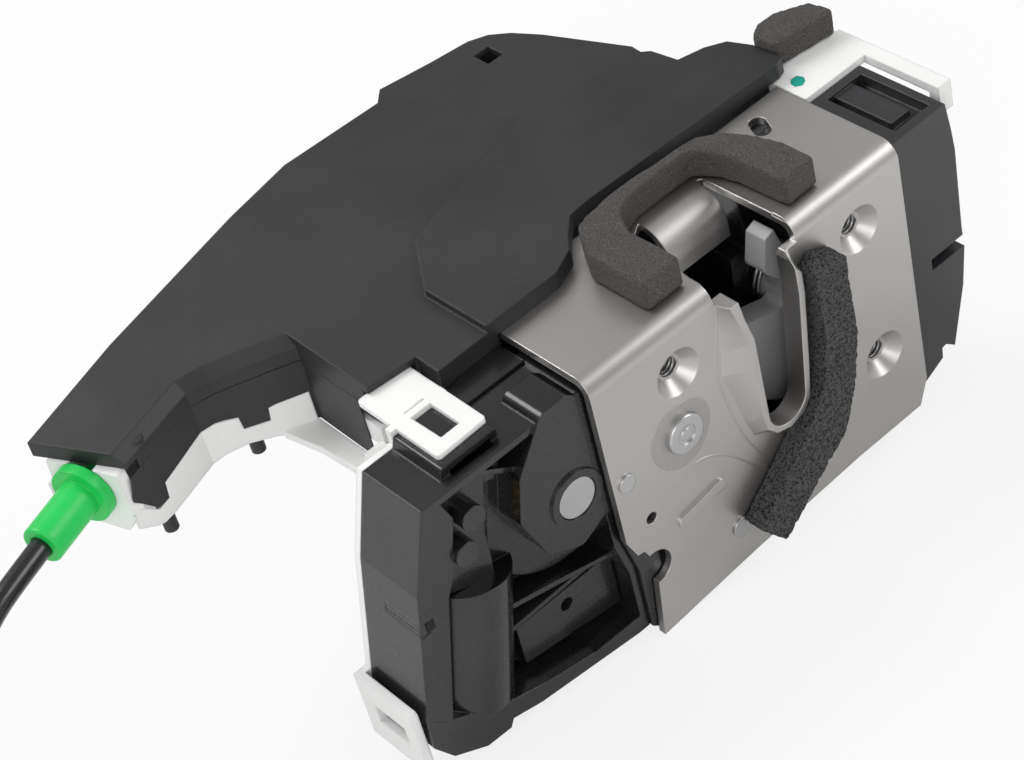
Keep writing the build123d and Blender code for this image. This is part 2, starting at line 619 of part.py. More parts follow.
def actuator_housing():
    """Black moulding with the gear drum, motor bay, boss, ribs and rim, open at the back."""
    wall = HOUSING_WALL
    outline = housing_outline()
    inner = offset(outline, -wall, kind=Kind.INTERSECTION)
    floor_front = 14.0
    shell = slab_y(outline, HOUSING_FRONT, HOUSING_BACK)
    recess = inner & Polygon(
        (-82.0, 12.7), (-82.0, -40.0), (-76.1, -45.7), (-59.4, -54.3), (-48.8, -57.5), (-36.1, -60.0),
        (-18.0, -60.4), (-18.0, 12.7), align=None,
    )
    shell -= slab_y(recess, HOUSING_FRONT - 1, floor_front)
    shell += slab_y(side_pad(), HOUSING_FRONT, floor_front + 1)
    shell += rod_y(WHEEL_CENTRE, DRUM_R, DRUM_FRONT, HOUSING_BACK) & slab_y(outline, 0, HOUSING_BACK)
    shell += slab_y(boss_outline(), BOSS_FRONT, DRUM_FRONT + 4)
    shell += rod_y(WHEEL_CENTRE, AXLE_CAP_R + 1.9, BOSS_FRONT - 0.6, DRUM_FRONT)
    bay = motor_rod(BAY_R, BAY_START, MOTOR_START + MOTOR_LENGTH + 6.0)
    bay &= slab_y(outline, HOUSING_FRONT - 1, HOUSING_BACK)
    shell += bay
    shell += slab_y(shelf_outline(), SHELF_FRONT, HOUSING_BACK)
    for rib in ribs():
        shell += rib
    for place in [(-56.0, 1.2), (-59.8, -6.3)]:
        shell += rod_y(place, 3.0, HOUSING_FRONT - 1.2, floor_front + 1)
    shell -= housing_cavity()
    shell -= slab_y(shelf_recess(), SHELF_FRONT - 1, SHELF_FRONT + 9.0)
    shell -= Pos(-74.2, 0, -17.8) * Box(2.4, 30, 3.4)
    shell -= rod_y((-36.5, -47.3), 1.7, 0, HOUSING_BACK)
    shell -= rod_y(WHEEL_CENTRE, AXLE_CAP_R + SLIDE, BOSS_FRONT - 2, BOSS_FRONT + 1.4)
    shell -= rod_y(WHEEL_CENTRE, AXLE_R + SLIDE, BOSS_FRONT - 2, HOUSING_BACK)
    return shell


def side_pad():
    """Flat pad beside the left wall, in front of the recess."""
    points = [
        (-66.8, 10.4), (-61.9, 9.4), (-60.0, 4.0), (-64.0, -10.0), (-66.6, -14.6),
        (-74.8, -47.0), (-79.6, -42.0), (-72.8, -8.9),
    ]
    return rounded(points, 0.5)


def shelf_outline():
    """Shelf under the upper snap loop."""
    return rounded([(-57.4, SHELF_TOP), (-42.6, SHELF_TOP), (-42.6, 8.0), (-46.0, 2.0), (-60.5, 6.0)], 0.6)


def shelf_recess():
    """Hollow in the shelf's front."""
    return rounded([(-55.4, SHELF_TOP - 1.6), (-44.4, SHELF_TOP - 1.6), (-44.4, 8.4), (-47.0, 4.4), (-57.2, 6.6)], 0.4)


def housing_cavity():
    """Room for the wheel, worm and motor, open towards the carrier's wall."""
    wall = HOUSING_WALL
    back = HOUSING_BACK + 1
    room = rod_y(WHEEL_CENTRE, DRUM_R - 1.5, DRUM_FRONT + 1.5, back)
    worm_room = motor_rod(WORM_PITCH_R + 2.2, -12.0, BAY_START + 3.0)
    motor_room = motor_rod(BAY_R - 1.4, BAY_START + 1.4, MOTOR_START + MOTOR_LENGTH + 0.5)
    room += worm_room
    room += motor_room
    lift = BAY_R - 1.4
    low, high = motor_point(BAY_START + 1.4), motor_point(MOTOR_START + MOTOR_LENGTH + 0.5)
    room += slab_y(beam(low, high, 2 * lift), GEAR_Y, back)
    room += slab_y(beam(motor_point(-12.0), motor_point(BAY_START + 3.0), 2 * (WORM_PITCH_R + 2.2)), GEAR_Y, back)
    keep = offset(housing_outline(), -wall, kind=Kind.INTERSECTION)
    return room & slab_y(keep, 0, back)


def beam(start, end, width):
    """Straight bar outline with square ends between two points."""
    length = hypot(end[0] - start[0], end[1] - start[1])
    turn = degrees(atan2(end[1] - start[1], end[0] - start[0]))
    middle = ((start[0] + end[0]) / 2, (start[1] + end[1]) / 2)
    return Pos(*middle) * Rot(0, 0, turn) * Rectangle(length, width)


def ribs():
    """Ribs across the lower part of the housing."""
    low = slab_y(beam((-52.0, -41.2), (-28.2, -40.4), 1.2), HOUSING_FRONT + 4.5, 15)
    high = slab_y(beam((-52.0, -33.6), (-22.5, -41.3), 1.2), HOUSING_FRONT + 3.5, 15)
    web = slab_y(rounded([(-50.5, -43.0), (-22.5, -43.0), (-22.5, -58.6), (-50.5, -54.4)], 0.5), 9.0, 15)
    stub = slab_y(beam((-57.0, 12.0), (-38.0, -0.5), 1.2), HOUSING_FRONT + 2, 15)
    return [low, high, web, stub & slab_y(housing_outline(), 0, 20)]


def wheel_tooth_gap():
    """Outline of the gap between two teeth, at angle zero."""
    pitch_r = GEAR_MODULE * WHEEL_TEETH / 2
    root, tip = pitch_r - 1.25 * GEAR_MODULE, pitch_r + GEAR_MODULE
    half_pitch = pi * GEAR_MODULE / 4 + 0.10
    slope = tan(radians(20))
    at_root = half_pitch - slope * 1.25 * GEAR_MODULE
    at_tip = half_pitch + slope * GEAR_MODULE
    return Polygon((root, -at_root), (tip + 0.5, -at_tip), (tip + 0.5, at_tip), (root, at_root), align=None)


def worm_wheel():
    """Toothed sector that the worm turns, with its hub and the pin that moves the slider."""
    tip = GEAR_MODULE * WHEEL_TEETH / 2 + GEAR_MODULE
    disc = (Circle(tip) & wedge(SECTOR_START, SECTOR_END)) + Circle(AXLE_R + 3.0)
    mesh = 180.0 - MOTOR_LEAN
    pitch = 360.0 / WHEEL_TEETH
    low, high = ceil((SECTOR_START - mesh) / pitch), floor((SECTOR_END - mesh) / pitch)
    disc -= [Rot(0, 0, mesh + pitch * i) * wheel_tooth_gap() for i in range(low, high + 1)]
    for angle in (156.0, 180.0):
        disc -= Rot(0, 0, angle) * Pos(DRIVE_PIN_REACH, 0) * Circle(1.9)
    y_front = GEAR_Y - WHEEL_T / 2
    wheel = slab_y(Pos(*WHEEL_CENTRE) * disc, y_front, y_front + WHEEL_T)
    wheel += rod_y(WHEEL_CENTRE, AXLE_R + 2.2, DRUM_FRONT + 1.8, HOUSING_BACK - 4.0)
    wheel += rod_y(drive_pin(), DRIVE_PIN_R + 1.6, y_front, y_front + WHEEL_T)
    wheel += rod_y(drive_pin(), DRIVE_PIN_R, y_front, HOUSING_BACK - 1.0)
    return wheel - rod_y(WHEEL_CENTRE, AXLE_R + SLIDE, 0, 40)


def drive_pin():
    """Centre of the wheel's drive pin at rest."""
    return polar(WHEEL_CENTRE, DRIVE_PIN_REACH, DRIVE_PIN_A)


def wheel_axle():
    """Steel axle with the round cap that shows in the boss."""
    cap = rod_y(WHEEL_CENTRE, AXLE_CAP_R, BOSS_FRONT - 0.4, BOSS_FRONT + 1.4)
    cap = fillet(cap.edges().group_by(Axis.Y)[0], 0.35)
    return cap + rod_y(WHEEL_CENTRE, AXLE_R, BOSS_FRONT + 1.0, HOUSING_BACK)


def worm():
    """Worm on the motor's shaft."""
    root = WORM_PITCH_R - 1.25 * GEAR_MODULE
    pitch = pi * GEAR_MODULE
    turns = 4
    length = pitch * turns
    helix = Helix(pitch=pitch, height=length, radius=root - 0.15, lefthand=False)
    half = pi * GEAR_MODULE / 4 - 0.22
    slope = tan(radians(20))
    deep, high = 1.25 * GEAR_MODULE + 0.15, GEAR_MODULE
    profile = Polygon(
        (0, -(half + slope * 1.25 * GEAR_MODULE)), (deep + high - 0.1, -(half - slope * high)),
        (deep + high - 0.1, half - slope * high), (0, half + slope * 1.25 * GEAR_MODULE), align=None,
    )
    start = Plane(origin=helix @ 0, x_dir=(1, 0, 0), z_dir=helix % 0)
    thread = sweep(start * profile, path=helix, is_frenet=True)
    thread = Pos(0, 0, -length / 2) * thread
    thread = Rot(0, 0, WORM_PHASE) * thread
    core = Pos(0, 0, 0) * Cylinder(root, length + 2.0)
    shaft_long = Pos(0, 0, (MOTOR_START + 1.0) / 2) * Cylinder(1.2, MOTOR_START + 1.0)
    tail = Pos(0, 0, -length / 2 - 2.5) * Cylinder(1.2, 4.0)
    return motor_plane(0) * (core + thread + shaft_long + tail)


WORM_PHASE = 90.0


def motor():
    """Small flat-sided electric motor."""
    outline = Circle(MOTOR_R) & Rectangle(MOTOR_FLAT, 3 * MOTOR_R)
    can = pull(motor_plane(MOTOR_START + 1.2), outline, MOTOR_LENGTH - 1.2)
    can += motor_rod(3.2, MOTOR_START, MOTOR_START + 2.0)
    return can - motor_rod(1.2 + SLIDE, MOTOR_START - 1, MOTOR_START + 4.0)


def lock_slider():
    """Slider behind the wheel: the drive pin lifts it to lock and lowers it to unlock."""
    x, z = drive_pin()
    bar = rounded([(x - 5.6, z - 5.0), (x + 4.4, z - 5.0), (x + 4.4, z + 5.0), (x - 5.6, z + 5.0)], 1.0)
    slot = Pos(x - 0.8, z) * Rectangle(2 * DRIVE_PIN_R + 2.2, 2 * DRIVE_PIN_R + 0.6)
    y_front = GEAR_Y + WHEEL_T / 2 + 0.5
    return slab_y(bar - slot, y_front, y_front + 2.4)


# Carrier


def tray_outline(inset=0.0):
    """Top outline of the cover and tray, with the wing at the left."""
    points = [
        (-26.3, 27.0), (-40.6, 26.7), (-40.5, 34.2), (-53.2, 35.3), (-53.0, 61.2), (-62.5, 65.2),
        (-71.5, 68.6), (-77.2, 69.6), (-98.3, 62.8), (-108.9, 83.6), (-79.5, 94.2), (-36.4, 106.5),
        (-16.7, 110.9), (11.3, 110.1), (15.0, 113.8), (28.8, 111.3), (39.7, 109.8), (44.3, 107.5),
        (48.0, 103.2), (51.8, 96.0), (60.5, 73.8), (60.0, 68.0), (61.3, 58.7), (68.0, 56.8),
        (72.6, 53.9), (74.9, 47.8), (75.3, 38.9), (72.8, 38.0), (13.9, 39.3), (8.8, 38.8),
        (4.1, 34.2), (0.9, 30.2), (-6.0, 27.2),
    ]
    shape = Polygon(*points, align=None)
    return offset(shape, -inset, kind=Kind.INTERSECTION) if inset else shape


def carrier():
    """White moulding: tray, back wall of the housing, two snap loops and the right bracket."""
    behind = BODY_BACK + BACK_PLATE_T + 2.0
    keep = Pos(0, 100) * Rectangle(400, 2 * (100 - behind)) + Pos(-90, 80) * Rectangle(2 * (90 + PLATE_LEFT), 2 * (80 - HOUSING_BACK - 0.1))
    floor = slab_z(tray_outline(0.3) & keep, TRAY_LOW, TRAY_FLOOR)
    band = (tray_outline(0.3) - tray_outline(0.3 + CARRIER_T - 0.3)) & keep
    tray = floor + slab_z(band, TRAY_FLOOR - 0.5, TRAY_BAND_TOP)
    wall = housing_outline() & Pos(-60, 0) * Rectangle(2 * (60 + PLATE_LEFT - 1.0), 200)
    tray += slab_y(wall, HOUSING_BACK + 0.1, HOUSING_BACK + 0.1 + CARRIER_T)
    join = box(-58.0, -26.5, HOUSING_BACK + 0.1, 37.0, TRAY_LOW, TRAY_FLOOR)
    tray += join
    tray += upper_loop()
    tray += lower_loop()
    tray += end_plate()
    tray += right_bracket()
    tray += rod_z(LEVER_PIVOT, LEVER_PIN_R + 2.0, TRAY_FLOOR - 0.5, LEVER_LOW - GAP)
    tray -= rod_z(LEVER_PIVOT, LEVER_PIN_R + SLIDE, TRAY_LOW - 1, 20)
    tray -= finger_room()
    tray -= cable_rod(3.3, -6.0, 3.0)
    for peg in PEGS:
        tray -= rod_z(peg, PEG_R + 0.1, TRAY_LOW - 1, 20)
    tray -= rod_y(WHEEL_CENTRE, AXLE_R + 0.1, HOUSING_BACK - 1, HOUSING_BACK + 5)
    return tray


def finger_room():
    """Opening in the tray for the lever's finger."""
    x, y = finger_tip()
    return box(x - 4.0, x + 9.0, y - 5.5, y + 4.0, TRAY_LOW - 1, TRAY_FLOOR + 1)


def finger_tip():
    """Where the release lever's finger stands at rest."""
    return (tab_centre()[0] - TAB_R - FINGER_R - GAP, LEVER_PIVOT[1] - LEVER_FINGER)


def upper_loop():
    """Snap loop that reaches forward over the shelf."""
    low = SHELF_TOP + 0.05
    strap = rounded([(-56.2, 9.0), (-42.4, 9.6), (-42.2, 36.0), (-56.0, 36.0)], 1.0)
    hole = rounded([(-52.0, 12.9), (-46.8, 13.0), (-46.8, 25.0), (-52.2, 24.8)], 0.3)
    loop = slab_z(strap - hole, low, low + 1.2)
    leg = box(-57.6, -42.2, HOUSING_BACK + 0.1, HOUSING_BACK + 2.1, TRAY_LOW, low + 1.2)
    return loop + leg


def lower_loop():
    """Snap loop around the housing's lower left corner."""
    plate = rounded([(5.0, -58.0), (5.0, -38.6), (HOUSING_BACK + 1.9, -38.6), (HOUSING_BACK + 1.9, -58.0)], 1.0)
    hole = Polygon((9.4, -51.0), (9.4, -45.6), (19.6, -45.6), (19.6, -51.0), align=None)
    side = Plane(origin=(-83.4, 0, 0), x_dir=(0, 1, 0), z_dir=(1, 0, 0))
    loop = pull(side, plate - hole, CLIP_T)
    bridge = box(-83.4, -79.0, HOUSING_BACK + 0.1, HOUSING_BACK + 1.9, -58.0, -38.6)
    return loop + bridge


def wing_direction():
    """Unit vector along the cable, out of the wing."""
    turn = radians(CABLE_ANGLE)
    return (-cos(turn), -sin(turn))


def cable_plane(out):
    """Plane square to the cable, out from the wing's end by a distance."""
    dx, dy = wing_direction()
    return Plane(
        origin=(FERRULE_X + dx * out, FERRULE_Y + dy * out, CABLE_Z),
        x_dir=(-dy, dx, 0), z_dir=(dx, dy, 0),
    )


def cable_rod(radius, start, end):
    """Round bar along the cable's axis, measured outwards from the wing's end."""
    return pull(cable_plane(start), Circle(radius), end - start)


def end_plate():
    """Plate across the wing's end with the open slot that grips the cable's sleeve."""
    outline = rounded([(-9.0, 6.0), (9.6, 6.0), (11.0, -6.0), (7.0, -11.2), (-4.0, -10.4), (-9.6, -4.0)], 0.8)
    plate = pull(cable_plane(-1.6), outline, 3.0)
    notch = Pos(0, 10) * Rectangle(2 * 3.3, 20) + Circle(3.3)
    return plate - pull(cable_plane(-3.0), notch, 8.0)


def right_bracket():
    """Flat pad and bar that wrap round the connector at the right."""
    wall = box(71.2, 73.2, PLUG_BACK + 0.3, 47.0, TRAY_LOW, 12.0)
    pad = box(71.2, 91.0, PLUG_BACK + 0.3, 40.5, 12.0, 13.9)
    foot = box(71.2, 93.6, 38.5, 50.0, 12.0, 13.9)
    bar = box(90.6, 94.6, 7.0, 40.0, 11.6, 13.9)
    hook = box(90.6, 94.6, 6.0, 9.0, 6.5, 13.9)
    link = box(60.0, 73.2, 40.5, 46.8, TRAY_LOW, TRAY_FLOOR)
    return wall + pad + foot + bar + hook + link


# Cover


def raised_outline():
    """Raised part of the cover, next to the face plate."""
    points = [
        (-26.3, 27.0), (-26.6, 46.9), (-17.1, 61.6), (-5.5, 65.5), (33.5, 76.1), (40.4, 75.7),
        (46.7, 74.2), (58.5, 68.5), (60.2, 66.5), (61.3, 58.7), (68.0, 56.8), (72.6, 53.9),
        (74.9, 47.8), (75.3, 38.9), (72.8, 38.0), (13.9, 39.3), (8.8, 38.8), (4.1, 34.2),
        (0.9, 30.2), (-6.0, 27.2),
    ]
    return Polygon(*points, align=None)


def cover():
    """Black cover: low wing, raised step, skirt, inner wall and bevelled edge."""
    outline = tray_outline()
    shape = slab_z(outline, SKIRT_BOTTOM, COVER_TOP)
    wing = Polygon((-120, 50), (-74.5, 50), (-74.5, 110), (-120, 110), align=None)
    shape += slab_z(outline & wing, INNER_WALL_BOTTOM + 1.0, COVER_TOP)
    edges = [e for e in shape.edges().group_by(Axis.Z)[-1] if wing_edge(e)]
    shape = chamfer(edges, COVER_BEVEL)
    shape += slab_z(raised_outline(), COVER_TOP - 1, RAISED_TOP)
    inner_wall = tray_outline(1.9) - tray_outline(3.7)
    shape += slab_z(inner_wall, INNER_WALL_BOTTOM + 1.2, COVER_TOP - 1)
    shape -= slab_z(tray_outline(COVER_T) & wing, 0, COVER_TOP - COVER_T - 1.2)
    shape -= slab_z(tray_outline(3.7), 0, COVER_TOP - COVER_T)
    shape -= slab_z(tray_outline(COVER_T) - tray_outline(1.9), 0, COVER_TOP - COVER_T)
    shape -= box(PLATE_LEFT - 1.0, 90, 0, BODY_BACK + BACK_PLATE_T + 8.0, -10, FLANGE_Z + 0.1)
    shape -= box(-60.0, -41.0, 20.0, 37.4, 0, SHELF_TOP + 1.5)
    shape -= box(PLATE_RIGHT + 0.5, 96, 20, 51, 0, 14.0)
    shape -= slab_z(Pos(38.9, 101.3) * Rectangle(4.6, 5.6), 0, COVER_TOP + 1)
    for peg in PEGS:
        shape += rod_z(peg, PEG_R, PEG_BOTTOM, COVER_TOP - COVER_T + 0.5)
    opening = pull(cable_plane(-6.0), Pos(0, -20) * Rectangle(30, 52), 20.0)
    shape -= opening & box(-130, -95, 50, 90, -20, COVER_TOP - COVER_T)
    return shape


def wing_edge(edge):
    """True for the top edges along the wing's front side."""
    middle = edge @ 0.5
    return middle.X < -55.0 and middle.Y < 71.0 and edge.length < 24


# Release lever and cable


def cable_point(out):
    """Point on the cable's axis, out from the wing's end."""
    dx, dy = wing_direction()
    return (FERRULE_X + dx * out, FERRULE_Y + dy * out)


def nipple_point():
    """Where the inner cable's nipple sits in the lever at rest, half its stroke past square."""
    return polar(LEVER_PIVOT, LEVER_CABLE_ARM, 90.0 + CABLE_ANGLE - LEVER_TRAVEL / 2)


def release_lever():
    """Bell crank: the inner cable pulls its long arm, and its finger pushes the pawl's tab."""
    nipple = nipple_point()
    tip = finger_tip()
    outline = capsule(LEVER_PIVOT, nipple, 7.2) + Pos(*LEVER_PIVOT) * Circle(8.0)
    outline += capsule(LEVER_PIVOT, tip, 7.0)
    outline -= Pos(*LEVER_PIVOT) * Circle(LEVER_PIN_R + SLIDE)
    outline -= Pos(*nipple) * Circle(NIPPLE_R + 0.25)
    outline -= capsule(nipple, polar(nipple, 12.0, 180.0 + CABLE_ANGLE), 3.0)
    lever = slab_z(outline, LEVER_LOW, LEVER_LOW + LEVER_T)
    lever += rod_z(tip, FINGER_R, tab_centre()[1] - TAB_R - 1.0, LEVER_LOW + 0.5)
    return lever



def lever_pin():
    """Upright pin of the release lever."""
    washer = rod_z(LEVER_PIVOT, LEVER_PIN_R + 0.5, LEVER_LOW + LEVER_T + 0.1, LEVER_LOW + LEVER_T + 0.4)
    head = rod_z(LEVER_PIVOT, LEVER_PIN_R + 2.2, LEVER_LOW + LEVER_T + 4.8, LEVER_LOW + LEVER_T + 6.0)
    return washer + head + rod_z(LEVER_PIVOT, LEVER_PIN_R, TRAY_LOW, LEVER_LOW + LEVER_T + 5.0)


def inner_cable():
    """Inner wire from the sleeve to the nipple in the release lever."""
    nipple = nipple_point()
    reach = hypot(nipple[0] - FERRULE_X, nipple[1] - FERRULE_Y)
    wire = cable_rod(0.75, -reach, -6.0)
    barrel = rod_z(cable_point(-reach), NIPPLE_R, LEVER_LOW - 1.2, LEVER_LOW + LEVER_T + 1.2)
    return wire + barrel


def cable_sleeve():
    """Green sleeve that snaps into the wing's end, with its flange and ear."""
    sleeve = cable_rod(4.7, 2.4, 19.0)
    sleeve = fillet(sleeve.edges().filter_by(GeomType.CIRCLE), 0.6)
    sleeve += cable_rod(7.2, 1.6, 4.2)
    sleeve += cable_rod(3.2, -4.0, 2.0)
    ear = pull(cable_plane(1.6), Pos(0, 4.2) * Rectangle(5.6, 3.2), 2.6)
    sleeve += ear
    sleeve -= cable_rod(0.95, -5.0, 10.0)
    return sleeve - cable_rod(CORD_D / 2, 9.0, 20.0)


# The cord's free route, from the sleeve down to the coil
def cord_route():
    """Points of the cord from inside the sleeve to where the coil begins."""
    start = cable_point(9.0)
    second = cable_point(24.0)
    z = FLOOR_Z + CORD_D / 2
    return [
        (start[0], start[1], CABLE_Z), (second[0], second[1], CABLE_Z),
        (-142.0, 54.6, 4.4), (-159.0, 46.0, -5.5), (-174.5, 36.5, -21.0), (-188.5, 28.0, -38.5),
        (-203.0, 23.2, -53.0), (-219.0, 22.6, z + 2.4), (-234.0, 23.8, z),
    ]


def cord_radii(points):
    """Bend radius at each inner point: 0.45 of the shorter run over the tangent of half the turn."""
    radii = []
    for before, here, after in zip(points, points[1:], points[2:]):
        run_in = Vector(*here) - Vector(*before)
        run_out = Vector(*after) - Vector(*here)
        turn = radians(run_in.get_angle(run_out))
        radii.append(0.45 * min(run_in.length, run_out.length) / tan(turn / 2))
    return radii


def cable_sheath():
    """Free cord from the sleeve to the coil, as a plain tube."""
    points = cord_route()
    radii = cord_radii(points)
    print("cord radii", [round(r, 1) for r in radii])
    path = FilletPolyline(*points, radius=radii)
    section = Plane(origin=path @ 0, z_dir=path % 0) * Circle(CORD_D / 2)
    tube = sweep(section, path=path) - cable_coil()
    print("cord tube length", round(path.length, 1), "volume share", round(tube.volume / (path.length * pi * CORD_D**2 / 4), 4))
    return tube


def cable_coil():
    """Outer shape of the neat coil of spare cable."""
    half = COIL_TURNS * COIL_PITCH / 2
    ring = Circle(COIL_TURN_R + half) - Circle(COIL_TURN_R - half)
    return slab_z(Pos(*COIL_CENTRE) * ring, FLOOR_Z, FLOOR_Z + CORD_D)


def cable_end():
    """Plain sleeve and barrel nipple at the far end of the cable, inside the coil."""
    x, y, z = COIL_CENTRE[0] - 13.0, COIL_CENTRE[1] + 12.0, FLOOR_Z + END_R
    mouth = Plane(origin=(x, y, z), x_dir=(0, 1, 0), z_dir=(1, 0, 0))
    sleeve = pull(mouth, Circle(END_R), 12.0)
    wire = pull(mouth.offset(12.0), Circle(0.8), 13.0)
    nipple = Pos(x + 25.0, y, z) * Cylinder(2.6, 6.0)
    return sleeve + wire + nipple - cable_coil()


# Connector


def connector_outline():
    """Front outline of the connector block."""
    points = [
        (PLUG_LEFT, PLUG_TOP), (88.4, PLUG_TOP), (89.4, 4.7), (89.9, -1.4), (89.2, -24.0), (89.4, -30.0),
        (87.6, -40.6), (82.6, -56.4), (79.8, -54.0), (78.4, -54.2), (78.2, -57.2), (72.2, -60.0),
        (PLUG_LEFT, -60.0),
    ]
    return Polygon(*points, align=None)


def connector_housing():
    """Black connector block with its socket on the right side and the lock tongue on top."""
    block = slab_y(connector_outline(), PLUG_FRONT, PLUG_BACK)
    block -= box(75.0, 86.2, 5.0, 25.6, 9.6, PLUG_TOP + 1)
    block += box(77.4, 83.4, 8.4, 25.8, 9.0, 11.6)
    block -= box(78.4, 100, 0, 6.0, -29.8, -26.4)
    block -= box(76.0, 100, 7.0, 24.0, -22.0, 5.0)
    return block


def connector_pins():
    """Flat contact blades in the socket."""
    pins = []
    for row in range(2):
        for column in range(6):
            y = 9.6 + 2.4 * column
            z = -14.0 + 12.0 * row
            pins.append(box(76.0, 86.5, y - 0.3, y + 0.3, z - 0.9, z + 0.9))
    return pins


def main():
    """Writes one file for each piece."""
    groups = {"plate_rivets": plate_rivets, "connector_pins": connector_pins}
    singles = {
        "latch_plate": latch_plate, "claw": claw, "pawl": pawl, "latch_body": latch_body,
        "back_plate": back_plate, "ajar_switch": ajar_switch, "foam_mouth_seal": foam_mouth_seal,
        "foam_face_strip": foam_face_strip, "foam_cover_block": foam_cover_block,
        "actuator_housing": actuator_housing, "worm_wheel": worm_wheel, "wheel_axle": wheel_axle,
        "worm": worm, "motor": motor, "lock_slider": lock_slider, "carrier": carrier, "cover": cover,
        "release_lever": release_lever, "lever_pin": lever_pin, "inner_cable": inner_cable,
        "cable_sleeve": cable_sleeve, "cable_sheath": cable_sheath, "cable_coil": cable_coil,
        "cable_end": cable_end, "connector_housing": connector_housing, "claw_pin": claw_pin,
        "pawl_pin": pawl_pin, "claw_spring": claw_spring, "pawl_spring": pawl_spring,
        "lever_spring": lever_spring, "striker_bumper": striker_bumper,
    }
    os.makedirs("parts", exist_ok=True)
    for name, make in singles.items():
        export_step(Compound(children=[s for s in make().solids()]), f"parts/{name}.step")
    for name, make in groups.items():
        export_step(Compound(children=[s for piece in make() for s in piece.solids()]), f"parts/{name}.step")


if __name__ == "__main__":
    main()
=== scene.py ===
"""Car door latch with its lock actuator and handle cable: finishes, foams, cable and studio."""

from __future__ import annotations

import logging
import math
from dataclasses import dataclass
from enum import Enum
from functools import cached_property
from typing import Mapping, Sequence, Union

import bmesh
import bpy
from mathutils import Matrix, Vector, noise

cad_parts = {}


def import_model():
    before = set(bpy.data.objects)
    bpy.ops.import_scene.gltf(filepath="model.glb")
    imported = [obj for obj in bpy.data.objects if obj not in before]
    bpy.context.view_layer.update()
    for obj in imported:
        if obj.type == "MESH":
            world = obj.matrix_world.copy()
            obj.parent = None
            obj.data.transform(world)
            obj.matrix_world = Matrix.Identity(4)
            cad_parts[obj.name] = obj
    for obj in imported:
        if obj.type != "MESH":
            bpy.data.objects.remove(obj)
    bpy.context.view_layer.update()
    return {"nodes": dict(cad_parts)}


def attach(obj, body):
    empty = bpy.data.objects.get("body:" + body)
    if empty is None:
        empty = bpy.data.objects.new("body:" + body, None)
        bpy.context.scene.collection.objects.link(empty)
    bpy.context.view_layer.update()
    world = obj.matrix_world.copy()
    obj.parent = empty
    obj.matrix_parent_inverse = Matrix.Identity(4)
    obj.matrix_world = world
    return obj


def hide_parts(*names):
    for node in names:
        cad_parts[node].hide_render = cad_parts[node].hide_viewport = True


LOG = logging.getLogger("door_latch")
MM = 0.001
MIDDLE = 0.5  # mean of a noise
EDGE_BAND = (0.01, 0.22)  # how far a rounded normal leaves its face at an edge
ROUNDING_SAMPLES = 6
BEVEL_SEGMENTS = 2
NO_STRETCH = (1.0, 1.0, 1.0)
PURE_WHITE = (1.0, 1.0, 1.0, 1.0)
Flat = tuple[float, float]
Point = tuple[float, float, float]
Colour = tuple[float, float, float]
BandCorner = tuple[float, float, float, float]
Number = Union["Signal", float]


class Signal:
    """An output socket whose arithmetic adds Math nodes to its graph."""

    def __init__(self, graph: "ShaderGraph", socket: bpy.types.NodeSocket) -> None:
        """Wraps an output socket.

        Args:
            graph: The graph that the socket belongs to.
            socket: The output socket.
        """
        self.graph = graph
        self.socket = socket

    def math(self, operation: str, *terms: Number) -> "Signal":
        """Adds a Math node.

        Args:
            operation: Blender's name for the operation.
            terms: The values of the node's inputs, in order.

        Returns:
            The node's output.
        """
        sockets = dict(enumerate(terms))
        return self.graph.node("ShaderNodeMath", {"operation": operation}, sockets)

    def __add__(self, other: Number) -> "Signal":
        """Sum."""
        return self.math("ADD", self, other)

    def __radd__(self, other: float) -> "Signal":
        """Sum with a number on the left."""
        return self.math("ADD", other, self)

    def __sub__(self, other: Number) -> "Signal":
        """Difference."""
        return self.math("SUBTRACT", self, other)

    def __rsub__(self, other: float) -> "Signal":
        """Difference from a number."""
        return self.math("SUBTRACT", other, self)

    def __mul__(self, other: Number) -> "Signal":
        """Product."""
        return self.math("MULTIPLY", self, other)

    def __rmul__(self, other: float) -> "Signal":
        """Product with a number on the left."""
        return self.math("MULTIPLY", other, self)

    def band(self, low: float, high: float) -> "Signal":
        """Smooth step from 0 at low to 1 at high.

        Args:
            low: Where the step starts.
            high: Where the step ends.

        Returns:
            The stepped signal.
        """
        sockets = {"Value": self, "From Min": low, "From Max": high}
        return self.graph.node("ShaderNodeMapRange", {"interpolation_type": "SMOOTHSTEP"}, sockets)


